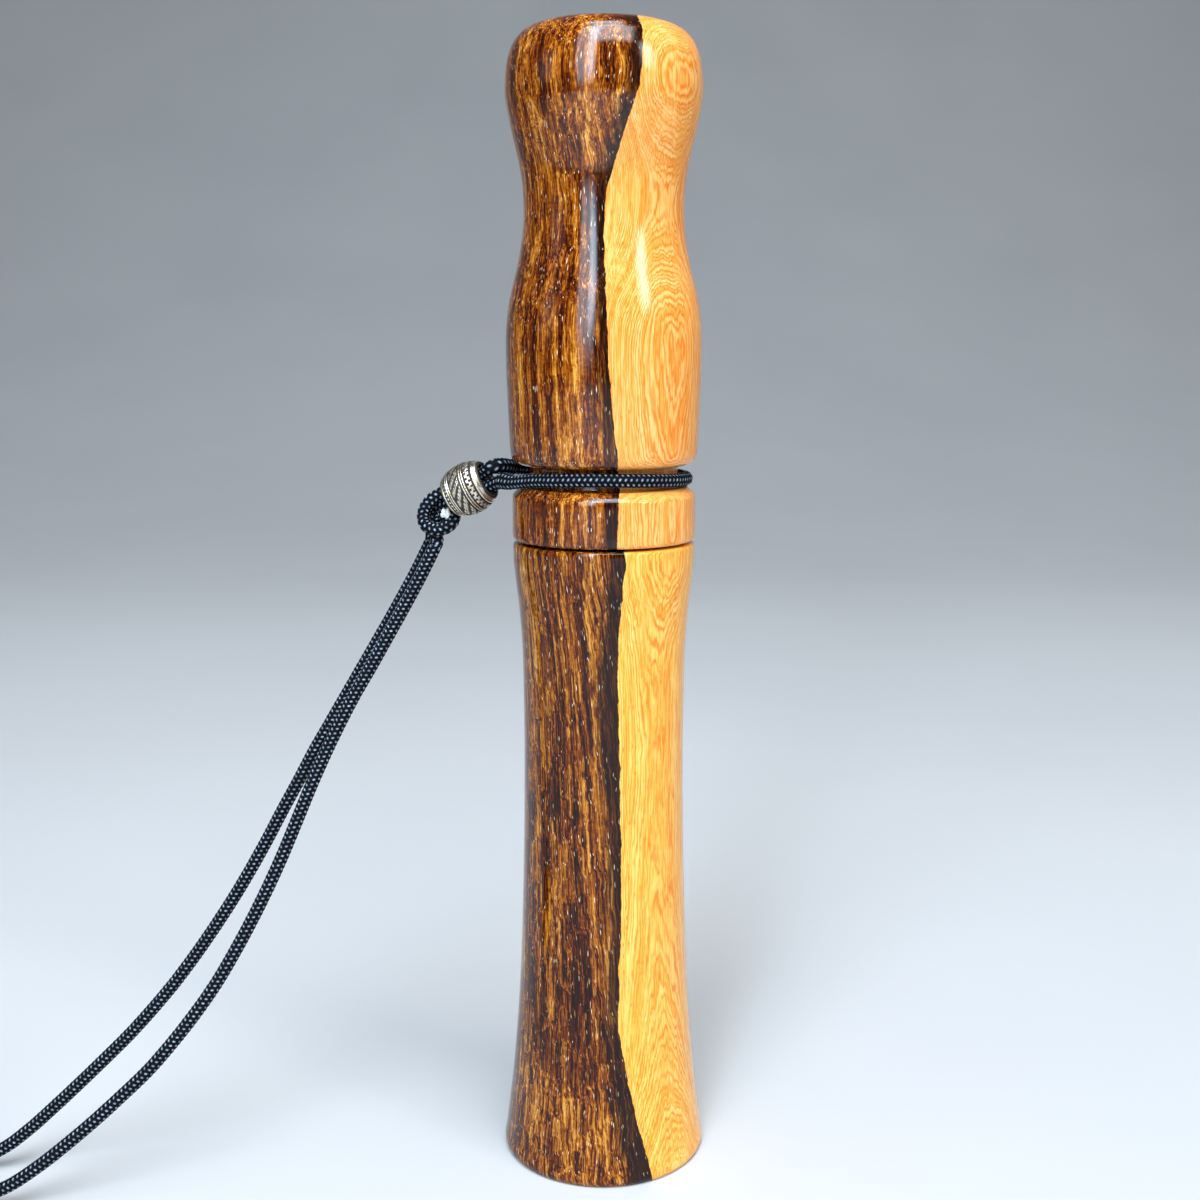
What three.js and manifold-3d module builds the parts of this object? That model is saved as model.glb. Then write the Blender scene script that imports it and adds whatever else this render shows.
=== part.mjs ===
// Grunt call: a turned two-piece wooden call that stands on its flared end, with its reed assembly inside
// and a neck lanyard held in a groove. Millimetres, +Z up, Z is the call's own axis.
// The origin is the centre of the flat foot of the bell, so the call stands on the plane z = 0.
import * as THREE from 'three';
import { mergeVertices } from 'three/addons/utils/BufferGeometryUtils.js';
import Module from 'manifold-3d';

const wasm = await Module();
wasm.setup();

// ---------- driving dimensions ----------
const SEG = 40;                 // facets round the turned wood
const RING_SEG = 28;            // facets round the small rings
const JOINT_LOW = 97.85;        // shoulder of the bell
const JOINT_HIGH = 98.3;        // foot of the barrel: the visible dark gap lies between the two
const TENON_TOP = 116.4;
const TENON_R = 9.0;
const SOCKET_R = 9.25;
const SOCKET_TOP = 118.6;
const SEAT_R = 6.5;             // bore of the tenon, which holds the toneboard
const SEAT_FLOOR = 93.1;
const BELL_BORE_R = 5.6;
const CHAMBER_R = 7.95;         // reed chamber in the barrel, 5/8 inch
const CHAMBER_TOP = 163.0;
const MOUTH_R = 4.8;            // hole that is blown into
const MOUTH_FLOOR = 166.5;
const GROOVE_LOW = 106.35;
const GROOVE_HIGH = 109.6;
const GROOVE_R = 11.2;
const CORD_R = 1.0;             // 2 mm braided cord
const COLLAR_R = 12.45;         // centre line of the cord in the groove
const PLUG_R = 6.2;
const PLUG_FOOT = 93.4;
const FLANGE_LOW = 116.7;
const FLANGE_TOP = 118.2;
const FLANGE_R = 7.1;
const TONGUE_R = 5.8;
const TONGUE_TOP = 151.0;
const BOARD_Y = -1.0;           // flat of the toneboard, which faces the front
const BOARD_RISE = 1.6;         // how far the flat curves away from the reed at its tip
const CHANNEL_R = 2.5;
const REED_W = 7.6;
const REED_T = 0.35;
const REED_FACE = -1.15;        // side of the reed that faces the board
const REED_ROOT = 113.1;
const REED_TIP = 149.4;

// ---------- helpers ----------
const V2 = (x, y) => new THREE.Vector2(x, y);
const V3 = (x, y, z) => new THREE.Vector3(x, y, z);

// A mesh with merged vertices, no slivers, and its faces pointing out.
function closed(geometry) {
  let g = geometry.clone();
  for (const name of Object.keys(g.attributes)) if (name !== 'position') g.deleteAttribute(name);
  g = mergeVertices(g, 1e-5);
  const p = g.attributes.position;
  const src = g.index.array;
  const tri = [];
  let volume = 0;
  const a = V3(0, 0, 0), b = V3(0, 0, 0), c = V3(0, 0, 0);
  for (let i = 0; i < src.length; i += 3) {
    const [u, v, w] = [src[i], src[i + 1], src[i + 2]];
    if (u === v || v === w || w === u) continue;
    tri.push(u, v, w);
    a.fromBufferAttribute(p, u); b.fromBufferAttribute(p, v); c.fromBufferAttribute(p, w);
    volume += a.dot(b.clone().cross(c)) / 6;
  }
  if (volume < 0) for (let i = 0; i < tri.length; i += 3) [tri[i + 1], tri[i + 2]] = [tri[i + 2], tri[i + 1]];
  const out = new THREE.BufferGeometry();
  out.setAttribute('position', new THREE.BufferAttribute(new Float32Array(p.array), 3));
  out.setIndex(tri);
  return out;
}

// A solid of revolution about Z from (radius, height) pairs. A ring's section closes on itself.
function turned(pairs, segments, ring) {
  const pts = pairs.map(([r, z]) => V2(r, z));
  if (ring) pts.push(pts[0].clone());
  const g = new THREE.LatheGeometry(pts, segments);
  g.rotateX(Math.PI / 2);
  return closed(g);
}

// A round ring of square-free section, such as an O-ring.
function oRing(radius, minor, z, segments = RING_SEG, sides = 8) {
  const pairs = [];
  for (let i = 0; i < sides; i++) {
    const t = (2 * Math.PI * (i + 0.5)) / sides;
    pairs.push([radius + (minor * Math.cos(t)) / Math.cos(Math.PI / sides), z + (minor * Math.sin(t)) / Math.cos(Math.PI / sides)]);
  }
  return turned(pairs, segments, true);
}

// A tube along a smooth curve through points.
function tube(points, radius, steps, sides = 8) {
  const curve = new THREE.CatmullRomCurve3(points.map(([x, y, z]) => V3(x, y, z)), false, 'centripetal');
  const section = [];
  for (let i = 0; i < sides; i++) {
    const t = (2 * Math.PI * (i + 0.5)) / sides;
    section.push(V2(radius * Math.cos(t), radius * Math.sin(t)));
  }
  return closed(new THREE.ExtrudeGeometry(new THREE.Shape(section), { steps, bevelEnabled: false, extrudePath: curve }));
}

// A prism along X from a side profile of (y, z) pairs.
function sidePrism(pairs, halfWidth) {
  const g = new THREE.ExtrudeGeometry(new THREE.Shape(pairs.map(([y, z]) => V2(y, z))), { depth: 2 * halfWidth, bevelEnabled: false, steps: 1 });
  // shape axes (x, y) -> (Y, Z), extrusion -> X
  g.applyMatrix4(new THREE.Matrix4().set(0, 0, 1, -halfWidth, 1, 0, 0, 0, 0, 1, 0, 0, 0, 0, 0, 1));
  return closed(g);
}

// A prism along Z from a plan of (x, y) pairs.
function planPrism(pairs, z0, z1, hole) {
  const shape = new THREE.Shape(pairs.map(([x, y]) => V2(x, y)));
  if (hole) shape.holes.push(new THREE.Path(hole.map(([x, y]) => V2(x, y))));
  const g = new THREE.ExtrudeGeometry(shape, { depth: z1 - z0, bevelEnabled: false, steps: 1 });
  g.translate(0, 0, z0);
  return closed(g);
}

const solid = (g) => {
  const mesh = new wasm.Mesh({ numProp: 3, vertProperties: new Float32Array(g.attributes.position.array), triVerts: new Uint32Array(g.index.array) });
  mesh.merge();
  return new wasm.Manifold(mesh);
};
const geometryOf = (m) => {
  const mesh = m.getMesh();
  const g = new THREE.BufferGeometry();
  g.setAttribute('position', new THREE.BufferAttribute(new Float32Array(mesh.vertProperties), 3));
  g.setIndex(Array.from(mesh.triVerts));
  return closed(g);
};

// ---------- the upper piece: mouthpiece barrel ----------
// Outside, from the mouth hole's lip down over the head, waist and belly to the lanyard groove and its ring.
const BARREL_OUTSIDE = [
  [5.35, 172.9], [7.0, 172.85], [8.6, 172.64], [10.0, 172.32], [11.3, 171.83], [12.2, 171.2], [12.95, 170.38], [13.5, 169.4],
  [14.05, 167.7], [14.34, 165.6], [14.43, 163.6], [14.25, 161.6], [13.87, 159.6], [13.3, 157.0], [12.7, 154.55],
  [12.2, 152.1], [11.92, 149.6], [11.83, 146.8], [11.97, 143.8], [12.4, 140.85], [13.1, 137.6], [13.83, 134.72],
  [14.3, 132.1], [14.55, 129.5], [14.62, 126.56], [14.58, 123.2], [14.44, 119.3], [14.28, 115.1], [14.1, 111.6],
  [13.95, 110.75], [13.6, 110.12], [12.9, 109.72], [12.3, GROOVE_HIGH],
];
const BARREL = [
  ...BARREL_OUTSIDE,
  [GROOVE_R, GROOVE_HIGH], [GROOVE_R, GROOVE_LOW],
  [12.4, GROOVE_LOW], [13.1, 106.15], [13.6, 105.7], [13.8, 105.1], [13.85, 102.5], [13.87, 98.75], [13.55, JOINT_HIGH],
  [9.65, JOINT_HIGH], [SOCKET_R, 98.8], [SOCKET_R, SOCKET_TOP],
  [CHAMBER_R, SOCKET_TOP], [CHAMBER_R, CHAMBER_TOP], [MOUTH_R, MOUTH_FLOOR], [MOUTH_R, 171.95], [4.98, 172.6],
];

// ---------- the lower piece: exhaust bell with its tenon ----------
const O_RING_MINOR = 0.62;
const TENON_RING_R = 8.5;
const TENON_RINGS = [102.2, 111.2];
const TENON_GROOVE_R = 7.8;
const grooveOn = (z, rOut, rIn, half) => [[rOut, z + half], [rIn, z + half], [rIn, z - half], [rOut, z - half]];
const BELL = [
  // tenon, from its top edge down
  [TENON_R - 0.5, TENON_TOP], [TENON_R, TENON_TOP - 0.5],
  ...grooveOn(TENON_RINGS[1], TENON_R, TENON_GROOVE_R, 1.0),
  ...grooveOn(TENON_RINGS[0], TENON_R, TENON_GROOVE_R, 1.0),
  [TENON_R, JOINT_LOW],
  // shoulder and outside
  [13.4, JOINT_LOW], [13.76, 97.35], [13.74, 94.9], [13.53, 92.7], [13.06, 88.56], [12.72, 84.6], [12.5, 80.4], [12.41, 75.3],
  [12.36, 69.0], [12.38, 62.0], [12.49, 54.0], [12.7, 44.6], [12.98, 36.0], [13.34, 27.7], [13.88, 19.8],
  [14.52, 12.53], [15.1, 7.59], [15.72, 2.8], [15.96, 1.4], [15.82, 0.65], [15.5, 0.2], [15.0, 0],
  // foot and bore
  [12.7, 0], [12.25, 0.35], [11.4, 2.2], [9.9, 6.0], [8.3, 12.5], [7.0, 21.0], [6.1, 32.0], [BELL_BORE_R, 45.0],
  [BELL_BORE_R, SEAT_FLOOR], [SEAT_R, SEAT_FLOOR], [SEAT_R, TENON_TOP - 0.4], [SEAT_R + 0.4, TENON_TOP],
];

// ---------- toneboard: plug, flange and tongue in one moulding ----------
const PLUG_RING_R = 5.75;
const PLUG_RING_MINOR = 0.56;
const PLUG_RINGS = [97.6, 106.6];
const PLUG = [
  [0, FLANGE_TOP], [FLANGE_R - 0.3, FLANGE_TOP], [FLANGE_R, FLANGE_TOP - 0.3], [FLANGE_R, FLANGE_LOW], [PLUG_R, FLANGE_LOW],
  ...grooveOn(PLUG_RINGS[1], PLUG_R, 5.05, 0.95),
  ...grooveOn(PLUG_RINGS[0], PLUG_R, 5.05, 0.95),
  [PLUG_R, PLUG_FOOT + 0.5], [PLUG_R - 0.5, PLUG_FOOT], [0, PLUG_FOOT],
];
function toneboardGeometry() {
  const plug = solid(turned(PLUG, 32, false));
  const round = solid(turned([[0, TONGUE_TOP], [TONGUE_R - 0.6, TONGUE_TOP], [TONGUE_R, TONGUE_TOP - 0.6], [TONGUE_R, FLANGE_TOP - 2], [0, FLANGE_TOP - 2]], 32, false));
  const face = [];
  const start = FLANGE_TOP + 0.8;
  face.push([BOARD_Y, FLANGE_TOP - 3]);
  for (let i = 0; i <= 8; i++) {
    const s = i / 8;
    face.push([BOARD_Y + BOARD_RISE * s * s, start + (TONGUE_TOP - start) * s]);
  }
  face.push([BOARD_Y + BOARD_RISE, TONGUE_TOP + 1], [3.0, TONGUE_TOP + 1], [9.0, TONGUE_TOP - 12], [9.0, FLANGE_TOP - 3]);
  const tongue = round.intersect(solid(sidePrism(face, 8)));
  // the tone channel: a round trough under the reed that runs on through the plug as a bore
  const channel = solid(turned([[0, TONGUE_TOP - 4.2], [1.6, TONGUE_TOP - 4.8], [CHANNEL_R, TONGUE_TOP - 6.4], [CHANNEL_R, PLUG_FOOT - 2], [0, PLUG_FOOT - 2]], 20, false)).translate([0, 0.4, 0]);
  // the pocket that takes the reed's root and its wedge
  const pocket = solid(planPrism([[-4.05, -3.95], [4.05, -3.95], [4.05, -0.8], [-4.05, -0.8]], 112.8, FLANGE_TOP + 3));
  return geometryOf(plug.add(tongue).subtract(channel).subtract(pocket));
}

// ---------- reed, wedge and tuning band ----------
function reedGeometry() {
  // a flat strip with a rounded tip, lying in the plane of X and Z
  const w = REED_W / 2;
  const shape = [[-w + 0.4, REED_ROOT], [w - 0.4, REED_ROOT], [w, REED_ROOT + 0.4]];
  for (let i = 0; i <= 8; i++) {
    const t = (Math.PI * i) / 8;
    shape.push([w * Math.cos(t), REED_TIP - 1.9 + 1.9 * Math.sin(t)]);
  }
  shape.push([-w, REED_ROOT + 0.4]);
  const g = new THREE.ExtrudeGeometry(new THREE.Shape(shape.map(([x, z]) => V2(x, z))), { depth: REED_T, bevelEnabled: false, steps: 1 });
  g.rotateX(Math.PI / 2);           // (x, z, depth) -> (x, -depth, z)
  g.translate(0, REED_FACE, 0);
  return closed(g);
}
const WEDGE = [[-1.85, 113.0], [-1.85, 118.5], [-2.1, 118.9], [-3.35, 118.9], [-3.6, 118.5], [-3.45, 113.0]];
function bandGeometry() {
  // a stretched rubber band: round at the back of the tongue, flat across the reed
  const arc = (r, y) => {
    const a0 = Math.asin(y / r);
    const out = [];
    for (let i = 0; i <= 18; i++) {
      const t = a0 + ((Math.PI - 2 * a0) * i) / 18;
      out.push([r * Math.cos(t), r * Math.sin(t)]);
    }
    return out;
  };
  return planPrism(arc(7.25, -3.05), 119.1, 121.3, arc(6.05, -1.85));
}

// ---------- lanyard ----------
// The cord makes one turn in the groove. Both ends of that turn leave it at the left, pass through the bead
// side by side and meet in the knot. From the knot the neck loop runs down to the surface that the call stands
// on, where its length lies in a coil, and back up.
const BEAD_CENTRE = V3(-20.46, 0.5, 105.8);
const BEAD_AXIS = V3(0.86, -0.25, 0.445).normalize();
const BEAD_SIDE = V3(-0.4274, 0.1242, 0.8956).normalize();   // the two strands lie one above the other in the bead
const BEAD_HOLE_R = 2.45;
const BEAD_R = 4.05;
const BEAD_HALF = 3.35;
const STRAND_OFFSET = 1.15;
const KNOT_CENTRE = V3(-25.35, 1.75, 101.1);
const inBead = (t, side) => BEAD_CENTRE.clone().addScaledVector(BEAD_AXIS, t).addScaledVector(BEAD_SIDE, side * STRAND_OFFSET).toArray();
const onCollar = (deg, z) => [COLLAR_R * Math.cos((deg * Math.PI) / 180), COLLAR_R * Math.sin((deg * Math.PI) / 180), z];
const COLLAR = [
  inBead(-3.3, -1), inBead(0, -1), inBead(3.4, -1), inBead(4.9, -1),
  [-12.9, -4.1, 107.3],
  onCollar(220, 107.75), onCollar(238, 107.95), onCollar(254, 108.1), onCollar(270, 108.14), onCollar(288, 108.05), onCollar(306, 107.9),
  onCollar(324, 107.7), onCollar(342, 107.55), onCollar(0, 107.47), onCollar(18, 107.45), onCollar(36, 107.45), onCollar(54, 107.45),
  onCollar(72, 107.5), onCollar(90, 107.6), onCollar(106, 107.75), onCollar(122, 107.95), onCollar(138, 108.25),
  [-13.1, 4.6, 108.5],
  inBead(4.9, 1), inBead(3.4, 1), inBead(0, 1), inBead(-3.3, 1),
];
const COIL_CENTRE = [-124.0, -16.0];
const COIL_IN = 6.7;
const COIL_OUT = 14.9;
const COIL_HIGH = 8.05;
const STRAND_A = [
  [-26.6, 2.9, 97.6], [-29.0, 2.7, 92.8], [-31.6, 2.4, 88.1], [-34.3, 2.1, 83.4], [-37.0, 1.6, 78.8], [-39.7, 1.1, 74.2],
  [-42.4, 0.6, 69.6], [-45.1, 0.0, 65.0], [-47.6, -0.6, 60.3], [-50.2, -1.3, 55.6], [-52.7, -1.9, 50.9], [-55.3, -2.6, 46.3],
  [-58.1, -3.3, 41.7], [-61.0, -4.0, 37.3], [-64.1, -4.7, 32.9], [-67.3, -5.4, 28.7], [-70.8, -6.1, 24.6], [-74.4, -6.7, 20.7],
  [-78.2, -7.4, 17.0], [-82.1, -8.0, 13.3], [-86.0, -8.6, 9.7], [-90.0, -9.3, 6.2], [-94.3, -10.0, 3.2], [-99.2, -10.6, 1.6],
  [-104.4, -10.2, 1.15], [-109.5, -8.1, 1.05],
];
const STRAND_B = [
  [-25.55, 0.7, 97.4], [-27.95, 0.3, 92.6], [-30.5, -0.1, 87.9], [-33.15, -0.7, 83.2], [-35.75, -1.3, 78.6], [-38.45, -2.1, 74.0],
  [-40.9, -3.0, 69.3], [-43.2, -3.9, 64.5], [-45.3, -5.0, 59.7], [-47.3, -6.1, 54.8], [-49.3, -7.2, 50.0], [-51.5, -8.4, 45.2],
  [-53.8, -9.5, 40.6], [-56.3, -10.8, 36.0], [-59.0, -12.0, 31.5], [-62.0, -13.2, 27.3], [-65.3, -14.4, 23.2], [-68.8, -15.5, 19.3],
  [-72.7, -16.6, 15.7], [-76.6, -17.7, 12.3], [-80.7, -18.8, 9.0], [-84.9, -19.8, 5.9], [-89.4, -20.7, 3.2], [-94.4, -21.4, 1.7],
  [-99.6, -22.4, 1.25], [-104.6, -24.3, 1.45], [-109.3, -26.6, 2.5], [-113.5, -28.4, 4.15],
];

function alongBead(geometry) {
  const q = new THREE.Quaternion().setFromUnitVectors(V3(0, 0, 1), BEAD_AXIS);
  return geometry.applyQuaternion(q);
}
function beadGeometry() {
  const pairs = [
    [BEAD_HOLE_R + 0.15, BEAD_HALF], [3.0, BEAD_HALF - 0.05], [3.3, 2.8], [3.68, 2.05], [3.94, 1.05], [BEAD_R, 0], [3.94, -1.05], [3.68, -2.05],
    [3.3, -2.8], [3.0, -BEAD_HALF + 0.05], [BEAD_HOLE_R + 0.15, -BEAD_HALF], [BEAD_HOLE_R, -BEAD_HALF + 0.3], [BEAD_HOLE_R, BEAD_HALF - 0.3],
  ];
  return alongBead(turned(pairs, 20, true)).translate(BEAD_CENTRE.x, BEAD_CENTRE.y, BEAD_CENTRE.z);
}
function knotGeometry() {
  const pairs = [[0, 2.7]];
  for (let i = 1; i < 8; i++) {
    const t = (Math.PI * i) / 8;
    pairs.push([3.15 * Math.sin(t), 2.7 * Math.cos(t)]);
  }
  pairs.push([0, -2.7]);
  const body = alongBead(turned(pairs, 14, false));
  // two short sealed ends of the cord stand out of the knot
  const stub = (x, y, z, length) => {
    const g = turned([[0, length], [0.75, length], [0.95, length - 0.3], [0.95, 0], [0, 0]], 8, false);
    return g.applyQuaternion(new THREE.Quaternion().setFromUnitVectors(V3(0, 0, 1), V3(x, y, z).normalize()));
  };
  const joined = solid(closed(body)).add(solid(closed(stub(1.7, -3.1, 0.95, 3.7)))).add(solid(closed(stub(2.4, 1.9, -1.3, 3.8))));
  return geometryOf(joined.translate([KNOT_CENTRE.x, KNOT_CENTRE.y, KNOT_CENTRE.z]));
}
const COIL = [
  [COIL_OUT - 1.2, COIL_HIGH], [COIL_OUT, COIL_HIGH - 1.2], [COIL_OUT, 1.0], [COIL_OUT - 0.8, 0.0],
  [COIL_IN + 0.8, 0.0], [COIL_IN, 1.0], [COIL_IN, COIL_HIGH - 1.2], [COIL_IN + 1.2, COIL_HIGH],
];

// ---------- the scene graph ----------
const material = (color, roughness, metalness) => new THREE.MeshStandardMaterial({ color: new THREE.Color(...color), roughness, metalness });
const WOOD_UPPER = material([0.5, 0.27, 0.09], 0.18, 0);
const WOOD_LOWER = material([0.46, 0.24, 0.08], 0.18, 0);
const RUBBER = material([0.03, 0.03, 0.032], 0.55, 0);
const ACETAL = material([0.82, 0.8, 0.74], 0.4, 0);
const FILM = material([0.78, 0.8, 0.78], 0.25, 0);
const CORK = material([0.55, 0.38, 0.22], 0.9, 0);
const CORD = material([0.02, 0.023, 0.03], 0.7, 0);
const PEWTER = material([0.72, 0.66, 0.55], 0.3, 1);

const call = new THREE.Group();
const lanyard = new THREE.Group();
const reedAssembly = new THREE.Group();
call.add(lanyard, reedAssembly);
const put = (group, name, geometry, mat) => {
  const mesh = new THREE.Mesh(geometry, mat);
  mesh.name = name;
  group.add(mesh);
  return mesh;
};

put(call, 'mouthpiece_barrel', turned(BARREL, SEG, true), WOOD_UPPER);
put(call, 'exhaust_bell', turned(BELL, SEG, true), WOOD_LOWER);
put(call, 'tenon_o_ring_lower', oRing(TENON_RING_R, O_RING_MINOR, TENON_RINGS[0]), RUBBER);
put(call, 'tenon_o_ring_upper', oRing(TENON_RING_R, O_RING_MINOR, TENON_RINGS[1]), RUBBER);

put(reedAssembly, 'toneboard', toneboardGeometry(), ACETAL);
put(reedAssembly, 'toneboard_o_ring_lower', oRing(PLUG_RING_R, PLUG_RING_MINOR, PLUG_RINGS[0]), RUBBER);
put(reedAssembly, 'toneboard_o_ring_upper', oRing(PLUG_RING_R, PLUG_RING_MINOR, PLUG_RINGS[1]), RUBBER);
put(reedAssembly, 'reed', reedGeometry(), FILM);
put(reedAssembly, 'reed_wedge', sidePrism(WEDGE, 3.7), CORK);
put(reedAssembly, 'tuning_band', bandGeometry(), RUBBER);

put(lanyard, 'lanyard_collar', tube(COLLAR, CORD_R, 30), CORD);
put(lanyard, 'lanyard_bead', beadGeometry(), PEWTER);
put(lanyard, 'lanyard_knot', knotGeometry(), CORD);
put(lanyard, 'lanyard_strand_a', tube(STRAND_A, CORD_R, 25), CORD);
put(lanyard, 'lanyard_strand_b', tube(STRAND_B, CORD_R, 25), CORD);
const coil = put(lanyard, 'lanyard_coil', turned(COIL, 28, true), CORD);
coil.position.set(COIL_CENTRE[0], COIL_CENTRE[1], 0);

export default call;
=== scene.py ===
"""Looks of a turned two-tone wooden grunt call with a braided neck lanyard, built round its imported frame."""

import math

import bmesh
import bpy
import numpy as np
from mathutils import Matrix, Vector


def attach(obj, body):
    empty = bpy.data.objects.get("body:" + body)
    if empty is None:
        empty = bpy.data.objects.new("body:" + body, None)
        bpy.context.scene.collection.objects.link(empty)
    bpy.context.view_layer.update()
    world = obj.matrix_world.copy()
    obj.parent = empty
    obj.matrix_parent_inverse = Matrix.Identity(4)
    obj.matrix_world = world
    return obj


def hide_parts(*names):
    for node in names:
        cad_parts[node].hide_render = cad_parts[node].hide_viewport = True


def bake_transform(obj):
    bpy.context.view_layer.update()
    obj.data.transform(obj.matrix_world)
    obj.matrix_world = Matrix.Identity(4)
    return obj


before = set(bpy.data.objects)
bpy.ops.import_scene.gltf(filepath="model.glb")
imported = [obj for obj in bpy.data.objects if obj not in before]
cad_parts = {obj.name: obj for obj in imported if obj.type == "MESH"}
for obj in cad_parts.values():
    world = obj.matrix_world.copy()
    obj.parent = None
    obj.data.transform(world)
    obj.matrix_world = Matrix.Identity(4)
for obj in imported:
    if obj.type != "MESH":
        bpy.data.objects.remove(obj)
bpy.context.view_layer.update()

MM = 0.001
TAU = 2 * math.pi
scene = bpy.context.scene


# ---------------------------------------------------------------- helpers
def link(obj):
    scene.collection.objects.link(obj)
    return obj


def mesh_object(name, verts, faces, material=None, smooth=True):
    me = bpy.data.meshes.new(name)
    me.from_pydata([tuple(v) for v in np.asarray(verts).tolist()], [], faces)
    me.update()
    if smooth:
        me.polygons.foreach_set("use_smooth", [True] * len(me.polygons))
    ob = link(bpy.data.objects.new(name, me))
    if material is not None:
        me.materials.append(material)
    return ob


def float_attribute(ob, name, values):
    at = ob.data.attributes.new(name, "FLOAT", "POINT")
    at.data.foreach_set("value", np.asarray(values, np.float32))


def catmull(points, steps):
    """A centripetal spline through points, steps samples for each stretch."""
    P = np.asarray(points, float)
    P = np.vstack([2 * P[0] - P[1], P, 2 * P[-1] - P[-2]])
    out = []
    for i in range(1, len(P) - 2):
        p0, p1, p2, p3 = P[i - 1], P[i], P[i + 1], P[i + 2]
        t0 = 0.0
        t1 = t0 + max(np.linalg.norm(p1 - p0), 1e-9) ** 0.5
        t2 = t1 + max(np.linalg.norm(p2 - p1), 1e-9) ** 0.5
        t3 = t2 + max(np.linalg.norm(p3 - p2), 1e-9) ** 0.5
        for t in np.linspace(t1, t2, steps, endpoint=False):
            a1 = (t1 - t) / (t1 - t0) * p0 + (t - t0) / (t1 - t0) * p1
            a2 = (t2 - t) / (t2 - t1) * p1 + (t - t1) / (t2 - t1) * p2
            a3 = (t3 - t) / (t3 - t2) * p2 + (t - t2) / (t3 - t2) * p3
            b1 = (t2 - t) / (t2 - t0) * a1 + (t - t0) / (t2 - t0) * a2
            b2 = (t3 - t) / (t3 - t1) * a2 + (t - t1) / (t3 - t1) * a3
            out.append((t2 - t) / (t2 - t1) * b1 + (t - t1) / (t2 - t1) * b2)
    out.append(P[-2])
    return np.array(out)


def resample(points, step=None, count=None):
    """The same line with even spacing."""
    P = np.asarray(points, float)
    d = np.r_[0, np.cumsum(np.linalg.norm(np.diff(P, axis=0), axis=1))]
    n = count or max(2, int(round(d[-1] / step)) + 1)
    s = np.linspace(0, d[-1], n)
    return np.stack([np.interp(s, d, P[:, k]) for k in range(3)], -1), s


def frames_along(P):
    """Tangent, normal and binormal that don't twist, at each point of a line."""
    T = np.gradient(P, axis=0)
    T /= np.linalg.norm(T, axis=1)[:, None]
    N = np.zeros_like(P)
    up = np.array([0, 0, 1.0]) if abs(T[0][2]) < 0.9 else np.array([1.0, 0, 0])
    n = up - T[0] * up.dot(T[0])
    n /= np.linalg.norm(n)
    N[0] = n
    for i in range(1, len(P)):
        n = n - T[i] * n.dot(T[i])
        n /= np.linalg.norm(n)
        N[i] = n
    return T, N, np.cross(T, N)


# ---------------------------------------------------------------- camera
cam = bpy.data.cameras.new("camera")
cam.sensor_width = 36
cam.lens = 45
cam.clip_start = 0.01
cam_ob = link(bpy.data.objects.new("camera", cam))
cam_ob.location = (-0.00057, -0.227, 0.1273)
cam_ob.rotation_euler = (math.radians(90 - 9.65), 0, 0)
scene.camera = cam_ob

# ---------------------------------------------------------------- the lanyard's route, in millimetres
STRAND_A = [
    (-26.6, 2.9, 97.6), (-29.0, 2.7, 92.8), (-31.6, 2.4, 88.1), (-34.3, 2.1, 83.4), (-37.0, 1.6, 78.8), (-39.7, 1.1, 74.2),
    (-42.4, 0.6, 69.6), (-45.1, 0.0, 65.0), (-47.6, -0.6, 60.3), (-50.2, -1.3, 55.6), (-52.7, -1.9, 50.9), (-55.3, -2.6, 46.3),
    (-58.1, -3.3, 41.7), (-61.0, -4.0, 37.3), (-64.1, -4.7, 32.9), (-67.3, -5.4, 28.7), (-70.8, -6.1, 24.6), (-74.4, -6.7, 20.7),
    (-78.2, -7.4, 17.0), (-82.1, -8.0, 13.3), (-86.0, -8.6, 9.7), (-90.0, -9.3, 6.2), (-94.3, -10.0, 3.2), (-99.2, -10.6, 1.6),
    (-104.4, -10.2, 1.15), (-109.5, -8.1, 1.05),
]
STRAND_B = [
    (-25.55, 0.7, 97.4), (-27.95, 0.3, 92.6), (-30.5, -0.1, 87.9), (-33.15, -0.7, 83.2), (-35.75, -1.3, 78.6), (-38.45, -2.1, 74.0),
    (-40.9, -3.0, 69.3), (-43.2, -3.9, 64.5), (-45.3, -5.0, 59.7), (-47.3, -6.1, 54.8), (-49.3, -7.2, 50.0), (-51.5, -8.4, 45.2),
    (-53.8, -9.5, 40.6), (-56.3, -10.8, 36.0), (-59.0, -12.0, 31.5), (-62.0, -13.2, 27.3), (-65.3, -14.4, 23.2), (-68.8, -15.5, 19.3),
    (-72.7, -16.6, 15.7), (-76.6, -17.7, 12.3), (-80.7, -18.8, 9.0), (-84.9, -19.8, 5.9), (-89.4, -20.7, 3.2), (-94.4, -21.4, 1.7),
    (-99.6, -22.4, 1.25), (-104.6, -24.3, 1.45), (-109.3, -26.6, 2.5), (-113.5, -28.4, 4.15),
]
COIL_AT = np.array([-124.0, -16.0])
CORD_R = 1.0


def coil_line(per_turn=48):
    """Four flat spirals on each other, in, out, in and out again, wound as by hand and laid flat."""
    turns, r_out, r_in = 3.125, 13.85, 7.65
    n = int(turns * per_turn)
    rows = []
    for layer in range(4):
        a, b = (r_out, r_in) if layer % 2 == 0 else (r_in, r_out)
        for i in range(n + (1 if layer == 3 else 0)):
            f = i / n
            rows.append((layer * turns + turns * f, a + (b - a) * f, 1.0 + 2.0 * layer))
    rows = np.array(rows)
    k = per_turn // 5
    z = np.convolve(np.pad(rows[:, 2], (k, k), mode="edge"), np.ones(2 * k + 1) / (2 * k + 1), "valid")
    th = math.pi / 2 + TAU * rows[:, 0]
    return np.stack([COIL_AT[0] + rows[:, 1] * np.cos(th), COIL_AT[1] + rows[:, 1] * np.sin(th), z], -1)


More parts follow.
